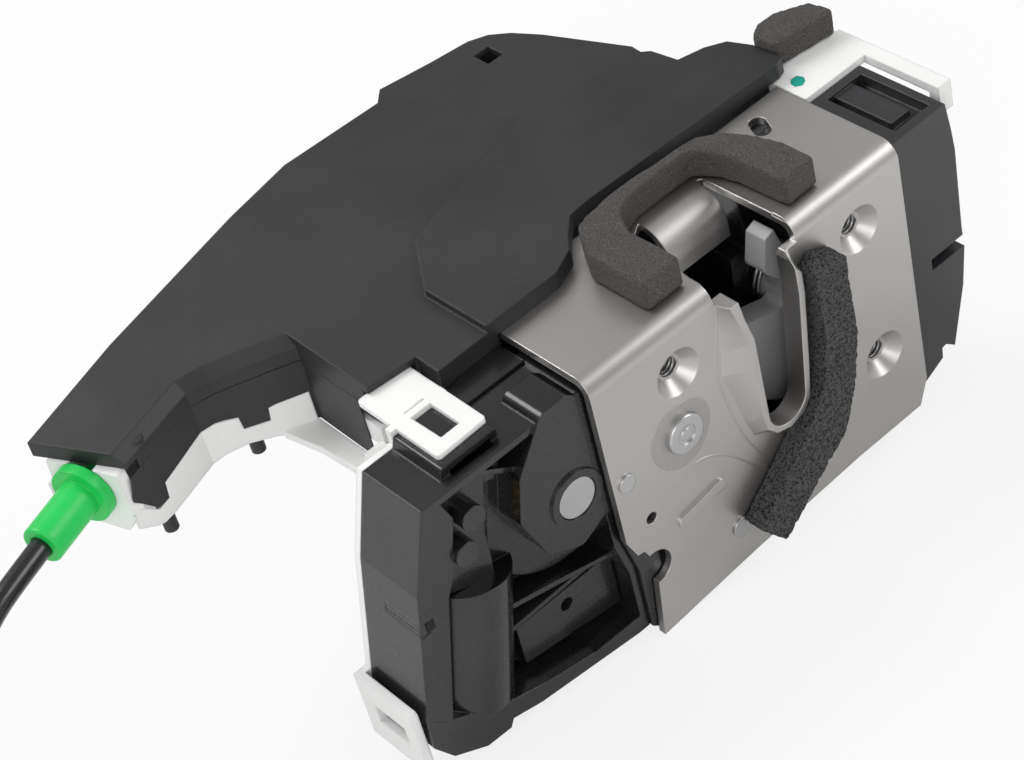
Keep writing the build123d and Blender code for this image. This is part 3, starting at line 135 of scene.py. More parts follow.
class ShaderGraph:
    """The node tree of a material or of the world, with its output in place."""

    def __init__(self, owner: bpy.types.Material | bpy.types.World, output: str) -> None:
        """Clears the owner's tree and adds its output.

        Args:
            owner: The material or the world.
            output: Blender's node type of its output.
        """
        owner.use_nodes = True
        self.owner = owner
        self.tree = owner.node_tree
        self.tree.nodes.clear()
        self.output = self.tree.nodes.new(output)

    @classmethod
    def material(cls, name: str) -> "ShaderGraph":
        """The graph of a new material of that name."""
        return cls(bpy.data.materials.new(name), "ShaderNodeOutputMaterial")

    @classmethod
    def world(cls, name: str) -> "ShaderGraph":
        """The graph of a new world of that name."""
        return cls(bpy.data.worlds.new(name), "ShaderNodeOutputWorld")

    @cached_property
    def place(self) -> Signal:
        """The object's own coordinates."""
        return self.node("ShaderNodeTexCoord", output="Object")

    def node(
        self,
        kind: str,
        settings: Mapping[str, object] | None = None,
        sockets: Mapping[int | str, object] | None = None,
        output: int | str = 0,
    ) -> Signal:
        """Adds a node, sets it up and fills its sockets.

        Args:
            kind: Blender's node type.
            settings: The node's own settings.
            sockets: Values or signals for its inputs, by name or index.
            output: The output that is handed back.

        Returns:
            That output as a signal.
        """
        made = self.tree.nodes.new(kind)
        for key, value in (settings or {}).items():
            setattr(made, key, value)
        for key, value in (sockets or {}).items():
            if isinstance(value, Signal):
                self.tree.links.new(value.socket, made.inputs[key])
            else:
                made.inputs[key].default_value = value
        return Signal(self, made.outputs[output])

    def noise(self, scale: float, detail: float = 3.0, stretch: Point = NO_STRETCH) -> Signal:
        """Noise over the object's own coordinates.

        Args:
            scale: Features per metre.
            detail: Octaves.
            stretch: Scale along each axis.

        Returns:
            The noise, about 0.5.
        """
        where: Signal = self.place
        if stretch != NO_STRETCH:
            where = self.node("ShaderNodeMapping", sockets={"Vector": self.place, "Scale": stretch})
        return self.node("ShaderNodeTexNoise", sockets={"Vector": where, "Scale": scale, "Detail": detail})

    def cells(self, scale: float) -> Signal:
        """Distance to the nearest of many scattered points.

        Args:
            scale: Points per metre.

        Returns:
            The distance, from 0 at a point.
        """
        return self.node("ShaderNodeTexVoronoi", sockets={"Vector": self.place, "Scale": scale})

    def blend(self, factor: Number, low: Signal | Colour, high: Colour) -> Signal:
        """Colour between two.

        Args:
            factor: 0 gives low and 1 gives high.
            low: First colour, or the colour so far.
            high: Second colour.

        Returns:
            The mixed colour.
        """
        first = low if isinstance(low, Signal) else (*low, 1.0)
        sockets = {0: factor, 6: first, 7: (*high, 1.0)}
        return self.node("ShaderNodeMix", {"data_type": "RGBA"}, sockets, output=2)

    def rounded(self, radius: float) -> Signal:
        """Normal that is rounded over near edges.

        Args:
            radius: Radius of the rounding in metres.

        Returns:
            The rounded normal.
        """
        return self.node("ShaderNodeBevel", {"samples": ROUNDING_SAMPLES}, {"Radius": radius})

    def edges(self, soft: Signal) -> Signal:
        """Mask of the edges, where the rounded normal leaves the face's own.

        Args:
            soft: The rounded normal.

        Returns:
            1 on an edge and 0 on a face.
        """
        own = self.node("ShaderNodeNewGeometry", output="Normal")
        settings = {"operation": "DOT_PRODUCT"}
        agree = self.node("ShaderNodeVectorMath", settings, {0: soft, 1: own}, output="Value")
        return (1.0 - agree).band(*EDGE_BAND)

    def bump(self, height: Signal, distance: float, soft: Signal | None = None) -> Signal:
        """Normal from a height.

        Args:
            height: The height, 0 to 1.
            distance: Depth of the relief in metres.
            soft: The normal that it starts from, where it isn't the face's own.

        Returns:
            The bent normal.
        """
        sockets: dict[int | str, object] = {"Height": height, "Distance": distance, "Strength": 1.0}
        if soft is not None:
            sockets["Normal"] = soft
        return self.node("ShaderNodeBump", sockets=sockets)

    def finish(self, shader: Signal) -> bpy.types.Material | bpy.types.World:
        """Links a shader to the output.

        Args:
            shader: The shader's output.

        Returns:
            The finished material or world.
        """
        self.tree.links.new(shader.socket, self.output.inputs["Surface"])
        return self.owner

    def surface(self, **sockets: object) -> bpy.types.Material:
        """Adds the surface's shader and links it to the output.

        Args:
            sockets: Values of the shader's inputs, with _ for each space.

        Returns:
            The finished material.
        """
        named = {key.replace("_", " "): value for key, value in sockets.items()}
        return self.finish(self.node("ShaderNodeBsdfPrincipled", sockets=named))


@dataclass(frozen=True)
class PlatedSteel:
    """Zinc-plated pressed sheet or turned steel, with a painted highlight along its edges."""

    name: str
    dark: Colour = (0.50, 0.485, 0.47)
    pale: Colour = (0.55, 0.535, 0.52)
    roughness: float = 0.40
    grain: float = 0.08
    rounding: float = 0.0004
    # colour of the painted highlight along the edges
    painted_edge_highlight: Colour = (0.72, 0.71, 0.70)
    detail: float = 2.0
    cloud_scale: float = 24.0
    cloud_band: Flat = (0.3, 0.7)
    cloud_change: float = 0.05
    streak_scale: float = 900.0
    streak_stretch: Point = (1.0, 1.0, 0.06)
    fine_scale: float = 4200.0
    relief_depth: float = 0.00001
    edge_shine: float = 0.6

    def make(self) -> bpy.types.Material:
        """Builds the material."""
        graph = ShaderGraph.material(self.name)
        cloud = graph.noise(self.cloud_scale, self.detail)
        streak = graph.noise(self.streak_scale, self.detail, self.streak_stretch)
        fine = graph.noise(self.fine_scale, self.detail)
        soft = graph.rounded(self.rounding)
        tone = graph.blend(cloud.band(*self.cloud_band), self.dark, self.pale)
        # painted highlight: the edges are blended towards a lighter colour
        tone = graph.blend(graph.edges(soft) * self.edge_shine, tone, self.painted_edge_highlight)
        rough = self.roughness + self.grain * (streak - MIDDLE) + self.cloud_change * (cloud - MIDDLE)
        relief = graph.bump(fine * 0.5 + streak * 0.5, self.relief_depth, soft)
        return graph.surface(Base_Color=tone, Metallic=1.0, Roughness=rough, Normal=relief)


@dataclass(frozen=True)
class MouldedPlastic:
    """Injection-moulded plastic with a fine spark-eroded grain, scuffs, and painted light along its edges."""

    name: str
    tone: Colour
    # second colour: of the scuffed and cloudy patches, and of the painted light along the edges
    worn_and_edge_light: Colour
    roughness: float = 0.5
    grain_scale: float = 1900.0
    grain_depth: float = 0.00004
    coat: float = 0.0
    rounding: float = 0.0006
    # weight of the painted edge light: a painted highlight on the dark plastics, a faintly darker edge on the
    # white
    painted_edge_light_weight: float = 0.5
    grain_detail: float = 2.0
    grain_change: float = 0.10
    cloud_scale: float = 38.0
    cloud_detail: float = 3.0
    cloud_band: Flat = (0.35, 0.75)
    cloud_wear: float = 0.5
    cloud_change: float = 0.14
    scuff_scale: float = 420.0
    scuff_detail: float = 4.0
    scuff_stretch: Point = (1.0, 0.35, 1.0)
    scuff_band: Flat = (0.60, 0.78)
    scuff_wear: float = 0.3

    def make(self) -> bpy.types.Material:
        """Builds the material."""
        graph = ShaderGraph.material(self.name)
        grain = graph.noise(self.grain_scale, self.grain_detail)
        cloud = graph.noise(self.cloud_scale, self.cloud_detail)
        rubbed = graph.noise(self.scuff_scale, self.scuff_detail, self.scuff_stretch)
        scuff = rubbed.band(*self.scuff_band)
        soft = graph.rounded(self.rounding)
        dull = cloud.band(*self.cloud_band) * self.cloud_wear + scuff * self.scuff_wear
        # the edges take the second colour as painted light, on top of the scuffs and cloudy patches
        wear_and_edge_light = dull + graph.edges(soft) * self.painted_edge_light_weight
        tone = graph.blend(wear_and_edge_light, self.tone, self.worn_and_edge_light)
        rough = self.roughness + self.cloud_change * (cloud - MIDDLE) + self.grain_change * (grain - MIDDLE)
        relief = graph.bump(grain, self.grain_depth, soft)
        return graph.surface(Base_Color=tone, Roughness=rough, Normal=relief, Coat_Weight=self.coat)


@dataclass(frozen=True)
class CellFoam:
    """Open or closed cell foam, with pores painted dark as shade and small painted glints."""

    name: str
    tone: Colour
    # colour of the painted shade in the pores
    pore_shade: Colour
    cell_scale: float
    depth: float
    sparkle: float = 0.5
    # colour of the painted glints, small lighter spots
    painted_glint: Colour = (0.30, 0.29, 0.28)
    glint_ratio: float = 0.42
    glint_band: Flat = (0.05, 0.17)
    mottle_ratio: float = 2.1
    mottle_detail: float = 3.0
    mottle_band: Flat = (0.25, 0.7)
    hole_band: Flat = (0.05, 0.45)
    hole_relief: float = 0.7
    mottle_relief: float = 0.3
    roughness: float = 0.92

    def make(self) -> bpy.types.Material:
        """Builds the material."""
        graph = ShaderGraph.material(self.name)
        cell = graph.cells(self.cell_scale)
        # noise that breaks up the painted pore shade and adds to the relief
        mottle = graph.noise(self.cell_scale * self.mottle_ratio, self.mottle_detail)
        glint = 1.0 - graph.cells(self.cell_scale * self.glint_ratio).band(*self.glint_band)
        hole = cell.band(*self.hole_band)
        # painted shade: the pores, broken up by the mottle, take the dark colour
        tone = graph.blend(hole * mottle.band(*self.mottle_band), self.pore_shade, self.tone)
        # painted glints: small spots blended to a lighter colour
        tone = graph.blend(glint * self.sparkle, tone, self.painted_glint)
        relief = graph.bump(hole * self.hole_relief + mottle * self.mottle_relief, self.depth)
        return graph.surface(Base_Color=tone, Roughness=self.roughness, Normal=relief)


class Finish(Enum):
    """The finishes, each made once and shared."""

    SHEET = PlatedSteel("plated sheet")
    TURNED = PlatedSteel("turned steel", (0.42, 0.42, 0.42), (0.56, 0.56, 0.56), roughness=0.3, grain=0.06)
    WIRE = PlatedSteel("spring wire", (0.25, 0.25, 0.26), (0.34, 0.34, 0.35), roughness=0.32, grain=0.05)
    BRASS = PlatedSteel("brass", (0.60, 0.43, 0.16), (0.75, 0.57, 0.26), roughness=0.3, grain=0.05)
    COIN = PlatedSteel("coined steel", (0.40, 0.39, 0.38), (0.47, 0.46, 0.45), roughness=0.55, grain=0.2)
    COVER = MouldedPlastic("cover black", (0.016, 0.016, 0.018), (0.034, 0.034, 0.037))
    HOUSING = MouldedPlastic(
        "housing black", (0.006, 0.006, 0.007), (0.022, 0.022, 0.024),
        roughness=0.27, grain_scale=1300.0, grain_depth=0.00001, coat=0.3,
    )
    PLUG = MouldedPlastic(
        "connector black", (0.014, 0.0145, 0.016), (0.032, 0.033, 0.036),
        roughness=0.36, grain_scale=1500.0, grain_depth=0.00002, coat=0.2,
    )
    WHITE = MouldedPlastic(
        "carrier white", (0.86, 0.86, 0.85), (0.78, 0.78, 0.77),
        roughness=0.42, grain_scale=900.0, grain_depth=0.00001,
    )
    GREEN = MouldedPlastic(
        "sleeve green", (0.010, 0.55, 0.085), (0.015, 0.66, 0.13),
        roughness=0.38, grain_scale=800.0, grain_depth=0.00001,
    )
    SHEATH = MouldedPlastic(
        "cable black", (0.010, 0.010, 0.011), (0.02, 0.02, 0.022),
        roughness=0.27, grain_scale=700.0, grain_depth=0.00001, coat=0.3,
    )
    CLAW = MouldedPlastic(
        "claw grey", (0.27, 0.27, 0.28), (0.38, 0.38, 0.39),
        roughness=0.36, grain_scale=900.0, grain_depth=0.00001,
    )
    DOT = MouldedPlastic("paint dot", (0.005, 0.36, 0.27), (0.01, 0.42, 0.32))
    # near-black material of the thin sheets that stand for shade in a hole and behind the striker mouth
    DARK = MouldedPlastic("painted shade", (0.003, 0.003, 0.003), (0.004, 0.004, 0.004), roughness=0.8)
    RUBBER = MouldedPlastic("bumper rubber", (0.014, 0.014, 0.014), (0.026, 0.026, 0.026), roughness=0.62)
    FOAM_SOFT = CellFoam(
        "mouth foam", (0.092, 0.086, 0.082), (0.036, 0.033, 0.032), cell_scale=2300.0, depth=0.0003,
    )
    FOAM_OPEN = CellFoam(
        "open foam", (0.085, 0.085, 0.086), (0.003, 0.003, 0.003),
        cell_scale=1000.0, depth=0.0008, sparkle=0.0,
    )

    def material(self) -> bpy.types.Material:
        """The finish's material, made at its first use."""
        return bpy.data.materials.get(self.value.name) or self.value.make()


NODE_FINISH: dict[Finish, tuple[str, ...]] = {
    Finish.SHEET: ("latch_plate", "back_plate"),
    Finish.TURNED: ("claw_pin", "pawl_pin", "plate_rivets", "wheel_axle", "pawl", "lever_pin",
                    "release_lever", "motor", "cable_end"),
    Finish.CLAW: ("claw",),
    Finish.WIRE: ("claw_spring", "pawl_spring", "lever_spring", "inner_cable"),
    Finish.BRASS: ("worm", "connector_pins"),
    Finish.COVER: ("cover",),
    Finish.HOUSING: ("actuator_housing", "latch_body", "ajar_switch"),
    Finish.PLUG: ("connector_housing",),
    Finish.WHITE: ("carrier", "worm_wheel", "lock_slider"),
    Finish.GREEN: ("cable_sleeve",),
    Finish.SHEATH: ("cable_sheath", "cable_coil"),
    Finish.FOAM_SOFT: ("foam_mouth_seal", "foam_cover_block"),
    Finish.FOAM_OPEN: ("foam_face_strip",),
    Finish.RUBBER: ("striker_bumper",),
}


def dress(piece: bpy.types.Object, finish: Finish) -> None:
    """Gives a piece one finish.

    Args:
        piece: The object.
        finish: Its finish.
    """
    piece.data.materials.clear()
    piece.data.materials.append(finish.material())


def link(name: str, data: bpy.types.ID) -> bpy.types.Object:
    """Puts new data in the scene.

    Args:
        name: The object's name.
        data: A mesh or a curve.

    Returns:
        The new object.
    """
    piece = bpy.data.objects.new(name, data)
    bpy.context.scene.collection.objects.link(piece)
    return piece


def mesh_of(name: str, form: bmesh.types.BMesh) -> bpy.types.Mesh:
    """Turns an edited form into a mesh, and frees the form.

    Args:
        name: The mesh's name.
        form: The form.

    Returns:
        The mesh.
    """
    mesh = bpy.data.meshes.new(name)
    form.to_mesh(mesh)
    form.free()
    return mesh


def round_line(
    name: str, points: Sequence[Sequence[float]], radius: float, smooth: bool = True,
) -> bpy.types.Curve:
    """Makes the curve of a round bar along points, in metres.

    Args:
        name: The curve's name.
        points: The points, as control points where it is smooth.
        radius: The bar's radius.
        smooth: True for a smooth line, False for a line through the points.

    Returns:
        The curve.
    """
    curve = bpy.data.curves.new(name, "CURVE")
    curve.dimensions = "3D"
    curve.bevel_depth = radius
    curve.bevel_resolution = 2
    curve.use_fill_caps = True
    spline = curve.splines.new("NURBS" if smooth else "POLY")
    spline.points.add(len(points) - 1)
    for knot, where in zip(spline.points, points):
        knot.co = (*where, 1.0)
    if smooth:
        spline.order_u = 3
        spline.use_endpoint_u = True
    return curve


@dataclass
class HandleCable:
    """The free cable, from the green sleeve to its coil of spare length, in metres."""

    diameter: float = 0.0052
    floor: float = -0.0672
    length: float = 0.58
    route: tuple[Point, ...] = (
        (-0.1117, 0.0693, 0.0070), (-0.1257, 0.0639, 0.0070), (-0.1415, 0.0575, 0.0064),
        (-0.1600, 0.0485, -0.0020), (-0.1755, 0.0375, -0.0195), (-0.1885, 0.0280, -0.0385),
        (-0.2030, 0.0232, -0.0530),
    )
    coil_centre: Flat = (-0.226, 0.0554)
    outer_turn: float = 0.0338
    pitch: float = 0.0054
    first_angle: float = 276.0
    point_sweep: float = 20.0
    coil_points: int = 41
    inward_from: Flat = (270.0, 630.0)
    inward_sweep: float = 60.0
    landing: float = 0.0024
    landing_sweep: float = 40.0
    mouth: Flat = (-0.239, 0.0674)
    before_mouth: Flat = (-0.004, -0.0014)
    before_height: float = 0.0038
    past_mouth: float = 0.002
    past_height: float = 0.0045

    def coil(self) -> list[Point]:
        """Points of the flat coil, which steps inwards once a turn.

        Returns:
            The points, from the outer turn to the inner one.
        """
        points = []
        low = self.floor + self.diameter / 2
        for i in range(self.coil_points):
            sweep = i * self.point_sweep
            angle = math.radians(self.first_angle - sweep)
            turns = sum(min(max((sweep - start) / self.inward_sweep, 0.0), 1.0) for start in self.inward_from)
            reach = self.outer_turn - self.pitch * turns
            lift = self.landing * max(0.0, 1.0 - sweep / self.landing_sweep)
            points.append((
                self.coil_centre[0] + reach * math.cos(angle),
                self.coil_centre[1] + reach * math.sin(angle),
                low + lift,
            ))
        return points

    def build(self) -> None:
        x, y = self.mouth
        end = (x + self.before_mouth[0], y + self.before_mouth[1], self.floor + self.before_height)
        inside = (x + self.past_mouth, y, self.floor + self.past_height)
        points = [*self.route, *self.coil(), end, inside]
        curve = round_line("handle_cable", points, self.diameter / 2)
        curve.bevel_resolution = 4
        curve.resolution_u = 6
        cable = link("handle_cable", curve)
        dress(cable, Finish.SHEATH)
        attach(cable, "base")
        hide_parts("cable_sheath", "cable_coil")
        LOG.info("handle cable, %d points", len(points))


def prism(name: str, base: Sequence[Vector], along: Vector, finish: Finish,
          bevel: float = 0.0) -> bpy.types.Object:
    """Makes a closed prism on the fixed body, with bevelled edges.

    Args:
        name: The object's name.
        base: Corners of one end, in metres.
        along: From that end to the other.
        finish: Its finish.
        bevel: Width of the bevel on every edge, 0 for none.

    Returns:
        The object.
    """
    form = bmesh.new()
    near = [form.verts.new(corner) for corner in base]
    far = [form.verts.new(corner + along) for corner in base]
    form.faces.new(near)
    form.faces.new(list(reversed(far)))
    for i in range(len(base)):
        j = (i + 1) % len(base)
        form.faces.new((near[j], near[i], far[i], far[j]))
    bmesh.ops.recalc_face_normals(form, faces=form.faces)
    if bevel > 0.0:
        edges = form.edges[:]
        bmesh.ops.bevel(form, geom=edges, offset=bevel, segments=BEVEL_SEGMENTS, affect="EDGES", profile=0.5)
    return settle(link(name, mesh_of(name, form)), finish)


def settle(piece: bpy.types.Object, finish: Finish) -> bpy.types.Object:
    """Dresses a piece and lets it ride on the fixed body.

    Args:
        piece: The object.
        finish: Its finish.

    Returns:
        The object.
    """
    dress(piece, finish)
    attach(piece, "base")
    return piece


def wall(name: str, outline: Sequence[Flat], front: float, back: float, finish: Finish,
         bevel: float = 0.2) -> bpy.types.Object:
    """Makes a piece from a front outline, in millimetres.

    Args:
        name: The object's name.
        outline: Its corners as x and z.
        front: The y of its front.
        back: The y of its back.
        finish: Its finish.
        bevel: Width of the bevel on its edges.

    Returns:
        The object.
    """
    base = [Vector((x, front, z)) * MM for x, z in outline]
    return prism(name, base, Vector((0.0, back - front, 0.0)) * MM, finish, bevel * MM)


@dataclass(frozen=True)
class Panel:
    """A flat moulded wall, or a thin sheet of painted shade, with a front outline, in millimetres."""

    name: str
    outline: tuple[Flat, ...]
    front: float
    back: float
    finish: Finish = Finish.HOUSING
    bevel: float = 0.2

    def build(self) -> None:
        """Makes the wall."""
        wall(self.name, self.outline, self.front, self.back, self.finish, bevel=self.bevel)


@dataclass
class HousingTrim:
    """Moulded walls of the housing and the latch body that their solids leave open, and two near-black sheets
    of painted shade, in millimetres.
    """

    stud_floor: Panel = Panel("stud_floor", (
        (-66.4, 9.4), (-47.0, 9.4), (-49.6, 0.0), (-52.0, -8.0), (-52.6, -22.4), (-67.6, -16.2),
        (-64.6, -8.0), (-61.0, 3.0),
    ), front=6.8, back=8.2)
    side_fill: Panel = Panel("side_fill", (
        (-75.0, -16.1), (-72.9, -16.1), (-72.9, -19.5), (-75.7, -19.5),
    ), front=3.6, back=15.0, bevel=0.0)
    # a near-black sheet of painted shade standing for the dark inside of the pad's square hole
    pad_hole_shade: Panel = Panel("pad_hole_shade", (
        (-73.7, -19.1), (-71.5, -19.1), (-71.5, -16.3), (-73.7, -16.3),
    ), front=3.45, back=3.6, finish=Finish.DARK, bevel=0.0)
    skirt: Panel = Panel("body_skirt", (
        (-22.3, -36.0), (-14.0, -36.0), (-14.0, -64.6), (-18.6, -66.2), (-20.2, -64.8), (-20.2, -46.0),
    ), front=2.3, back=14.0)
    # a near-black sheet of painted shade behind the striker mouth, where the latch body leaves a gap
    mouth_shade: Panel = Panel("mouth_shade", (
        (14.0, 1.0), (27.0, 1.0), (27.0, 12.5), (14.0, 12.5),
    ), front=28.9, back=29.9, finish=Finish.DARK)
    top_outline: tuple[Flat, ...] = (
        (-41.6, 19.0), (-24.2, 19.0), (-24.2, 27.6), (-33.0, 27.6), (-41.6, 25.0),
    )
    top_low: float = 11.25
    top_height: float = 0.8
    top_bevel: float = 0.2

    def build(self) -> None:
        """Makes the walls, the sheets of painted shade and the strip on top."""
        for panel in (self.stud_floor, self.side_fill, self.pad_hole_shade, self.skirt, self.mouth_shade):
            panel.build()
        base = [Vector((x, y, self.top_low)) * MM for x, y in self.top_outline]
        rise = Vector((0.0, 0.0, self.top_height)) * MM
        prism("housing_top", base, rise, Finish.HOUSING, self.top_bevel * MM)
        LOG.info("housing trim")


@dataclass
class WingTrim:
    """Low wall of the cover's wing and the white band under it, in millimetres.

    Each corner is x, y, the lower edge and the upper edge.
    """

    dark: tuple[BandCorner, ...] = (
        (-99.9, 62.2, 4.6, 5.4), (-98.1, 62.8, 2.4, 10.4), (-94.5, 63.95, -2.7, 10.4),
        (-91.0, 65.05, -2.9, 10.4), (-77.2, 69.55, -4.8, 10.4), (-71.5, 68.55, -4.8, 10.4),
        (-62.5, 65.15, -4.8, 10.4), (-53.0, 61.15, -7.0, 10.4), (-53.2, 41.0, -7.0, 10.4),
    )
    white: tuple[BandCorner, ...] = (
        (-101.0, 61.75, -2.3, 1.6), (-99.0, 62.4, -3.9, 1.8), (-96.7, 63.15, -5.9, -0.6),
        (-94.6, 63.8, -7.0, -2.9), (-91.2, 64.9, -7.4, -2.9), (-90.7, 65.05, -7.4, 1.3),
        (-83.6, 67.3, -7.1, 2.1), (-77.2, 69.35, -6.8, 2.9), (-73.7, 68.75, -6.3, 3.1),
        (-68.7, 67.3, -6.3, 1.8), (-68.4, 67.2, -6.3, -1.9), (-62.7, 65.05, -7.4, -2.5),
        (-62.3, 64.9, -7.5, 1.0), (-60.8, 64.3, -8.2, 1.3), (-53.6, 61.3, -9.0, 1.3),
    )
    ledge: tuple[Flat, ...] = (
        (-61.0, 64.7), (-58.9, 53.7), (-57.9, 36.0), (-53.3, 36.0), (-53.2, 61.4),
    )
    ledge_low: float = -9.2
    ledge_height: float = 2.2
    ledge_bevel: float = 0.2
    dark_sheet: float = 0.24
    white_sheet: float = 0.7

    @staticmethod
    def ribbon(
        name: str, corners: Sequence[BandCorner], sheet: float, finish: Finish, material_slot: str,
    ) -> None:
        """Makes an upright band along corners, with its thickness towards the tray.

        Args:
            name: The object's name.
            corners: Its corners: x, y, lower edge and upper edge.
            sheet: Its thickness.
            finish: Its finish.
            material_slot: Not used.
        """
        form = bmesh.new()
        rows = []
        last = len(corners) - 1
        for i, (x, y, low, top) in enumerate(corners):
            before, after = corners[max(i - 1, 0)], corners[min(i + 1, last)]
            run = Vector((after[0] - before[0], after[1] - before[1])).normalized()
            inner = (x - run.y * sheet, y + run.x * sheet)
            places = ((x, y, low), (x, y, top), (*inner, top), (*inner, low))
            rows.append([form.verts.new(Vector(place) * MM) for place in places])
        sides = len(rows[0])
        for first, second in zip(rows, rows[1:]):
            for j in range(sides):
                k = (j + 1) % sides
                form.faces.new((first[j], first[k], second[k], second[j]))
        form.faces.new(rows[0])
        form.faces.new(list(reversed(rows[-1])))
        bmesh.ops.recalc_face_normals(form, faces=form.faces)
        settle(link(name, mesh_of(name, form)), finish)

    def build(self) -> None:
        """Makes the wall, the band and its ledge."""
        self.ribbon("wing_wall", self.dark, self.dark_sheet, Finish.COVER, "black_plastic")
        self.ribbon("wing_band", self.white, self.white_sheet, Finish.WHITE, "white_plastic")
        base = [Vector((x, y, self.ledge_low)) * MM for x, y in self.ledge]
        rise = Vector((0.0, 0.0, self.ledge_height)) * MM
        prism("wing_ledge", base, rise, Finish.WHITE, self.ledge_bevel * MM)
        LOG.info("wing trim")


@dataclass
class PlateTrim:
    """Threads, coined ring and pressed lines of the face plate, in millimetres."""

    holes: tuple[Flat, ...] = ((0.0, 0.0), (56.0, 0.0), (58.1, -39.3))
    thread_radius: float = 2.45
    thread_pitch: float = 1.0
    thread_start: float = 3.4
    thread_turns: float = 3.4
    thread_steps: int = 20
    thread_wire: float = 0.24
    coin_centre: Flat = (-2.8, -16.2)
    coin_radius: float = 8.8
    coin_corners: int = 48
    coin_waves: float = 3.0
    coin_swell: float = 0.03
    coin_front: float = -0.07
    coin_back: float = 0.05
    coin_bevel: float = 0.03
    line_depth: float = 0.18
    line_radius: float = 0.34
    step_line: tuple[Flat, ...] = (
        (13.0, 8.0), (12.4, 3.6), (10.4, -3.0), (9.6, -10.0), (10.8, -18.0), (12.4, -26.0), (14.6, -33.0),
        (18.9, -41.4), (24.6, -46.6),
    )
    low_line: tuple[Flat, ...] = (
        (-6.4, -28.4), (-2.0, -26.2), (4.0, -27.8), (9.6, -32.8), (13.6, -38.6), (18.4, -45.0),
    )

    def thread(self, index: int, hole: Flat) -> None:
        """Winds the thread of one screw hole.

        Args:
            index: The hole's number.
            hole: Its x and z.
        """
        steps = self.thread_steps
        points = []
        for i in range(int(self.thread_turns * steps) + 1):
            turn = 2.0 * math.pi * i / steps
            x = hole[0] + self.thread_radius * math.cos(turn)
            z = hole[1] + self.thread_radius * math.sin(turn)
            points.append(Vector((x, self.thread_start + self.thread_pitch * i / steps, z)) * MM)
        name = f"thread_{index}"
        curve = round_line(name, points, self.thread_wire * MM, smooth=False)
        settle(link(name, curve), Finish.TURNED)

    def build(self) -> None:
        """Makes the threads, the ring and the lines."""
        for index, hole in enumerate(self.holes):
            self.thread(index, hole)
        x, z = self.coin_centre
        ring = []
        for i in range(self.coin_corners):
            turn = 2.0 * math.pi * i / self.coin_corners
            reach = self.coin_radius * (1.0 + self.coin_swell * math.sin(self.coin_waves * turn))
            ring.append((x + reach * math.cos(turn), z + reach * math.sin(turn)))
        wall("coined_ring", ring, self.coin_front, self.coin_back, Finish.COIN, self.coin_bevel)
        for name, line in (("step_line", self.step_line), ("low_line", self.low_line)):
            points = [Vector((x, self.line_depth, z)) * MM for x, z in line]
            curve = round_line(name, points, self.line_radius * MM)
            settle(link(name, curve), Finish.SHEET)
        LOG.info("plate trim")


@dataclass
class BracketTrim:
    """Paint dot on the white bracket, in millimetres."""

    centre: Flat = (75.0, 34.4)
    radius: float = 1.9
    corners: int = 7
    waves: float = 2.0
    swell: float = 0.1
    low: float = 13.92
    thickness: float = 0.06

    def build(self) -> None:
        """Makes the dot."""
        dot = []
        for i in range(self.corners):
            turn = 2.0 * math.pi * i / self.corners
            reach = self.radius * (1.0 + self.swell * math.sin(self.waves * turn))
            x, y = self.centre[0] + reach * math.cos(turn), self.centre[1] + reach * math.sin(turn)
            dot.append(Vector((x, y, self.low)) * MM)
        prism("paint_dot", dot, Vector((0.0, 0.0, self.thickness)) * MM, Finish.DOT)
        LOG.info("bracket trim")


@dataclass
class FoamPad:
    """A die-cut foam pad: soft cut edges, an uneven skin and torn pores, all inside its CAD solid."""

    name: str
    node: str
    finish: Finish
    cell: float = 0.0008
    soften: int = 2
    torn: float = 0.0
    sag: float = 0.0003
    edge_factor: float = 0.6
    wave_scale: float = 90.0
    wave_share: float = 0.6
    pit_scale: float = 950.0

    def build(self, nodes: Mapping[str, bpy.types.Object]) -> None:
        """Args:
            nodes: The CAD nodes by name.
        """
        pad = link(self.name, nodes[self.node].data.copy())
        grid = pad.modifiers.new("cells", "REMESH")
        grid.mode = "VOXEL"
        grid.voxel_size = self.cell
        edges = pad.modifiers.new("soft edges", "SMOOTH")
        edges.factor = self.edge_factor
        edges.iterations = self.soften
        held = pad.evaluated_get(bpy.context.evaluated_depsgraph_get())
        mesh = bpy.data.meshes.new_from_object(held)
        pad.modifiers.clear()
        pad.data = mesh
        normals = [point.normal.copy() for point in mesh.vertices]
        for point, normal in zip(mesh.vertices, normals):
            wave = noise.noise(point.co * self.wave_scale)
            pit = noise.noise(point.co * self.pit_scale)
            sag = self.sag * self.wave_share * (1.0 + wave)
            point.co -= normal * (sag + self.torn * max(0.0, pit))
        for face in mesh.polygons:
            face.use_smooth = True
        dress(pad, self.finish)
        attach(pad, "base")
        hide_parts(self.node)
        LOG.info("%s, %d faces", self.name, len(mesh.polygons))


FOAM_PADS = (
    FoamPad("mouth_seal", "foam_mouth_seal", Finish.FOAM_SOFT),
    FoamPad("face_strip", "foam_face_strip", Finish.FOAM_OPEN, cell=0.0006, torn=0.0005),
    FoamPad("cover_pad", "foam_cover_block", Finish.FOAM_SOFT, torn=0.0002),
)


@dataclass(frozen=True)
class Lamp:
    """A square soft lamp that faces the part."""

    name: str
    place: Point
    size: float
    power: float

    def build(self) -> None:
        """Hangs the lamp."""
        data = bpy.data.lights.new(self.name, "AREA")
        data.shape = "SQUARE"
        data.size = self.size
        data.energy = self.power
        lamp = link(self.name, data)
        lamp.location = self.place
        lamp.rotation_euler = (-Vector(self.place)).to_track_quat("-Z", "Y").to_euler()


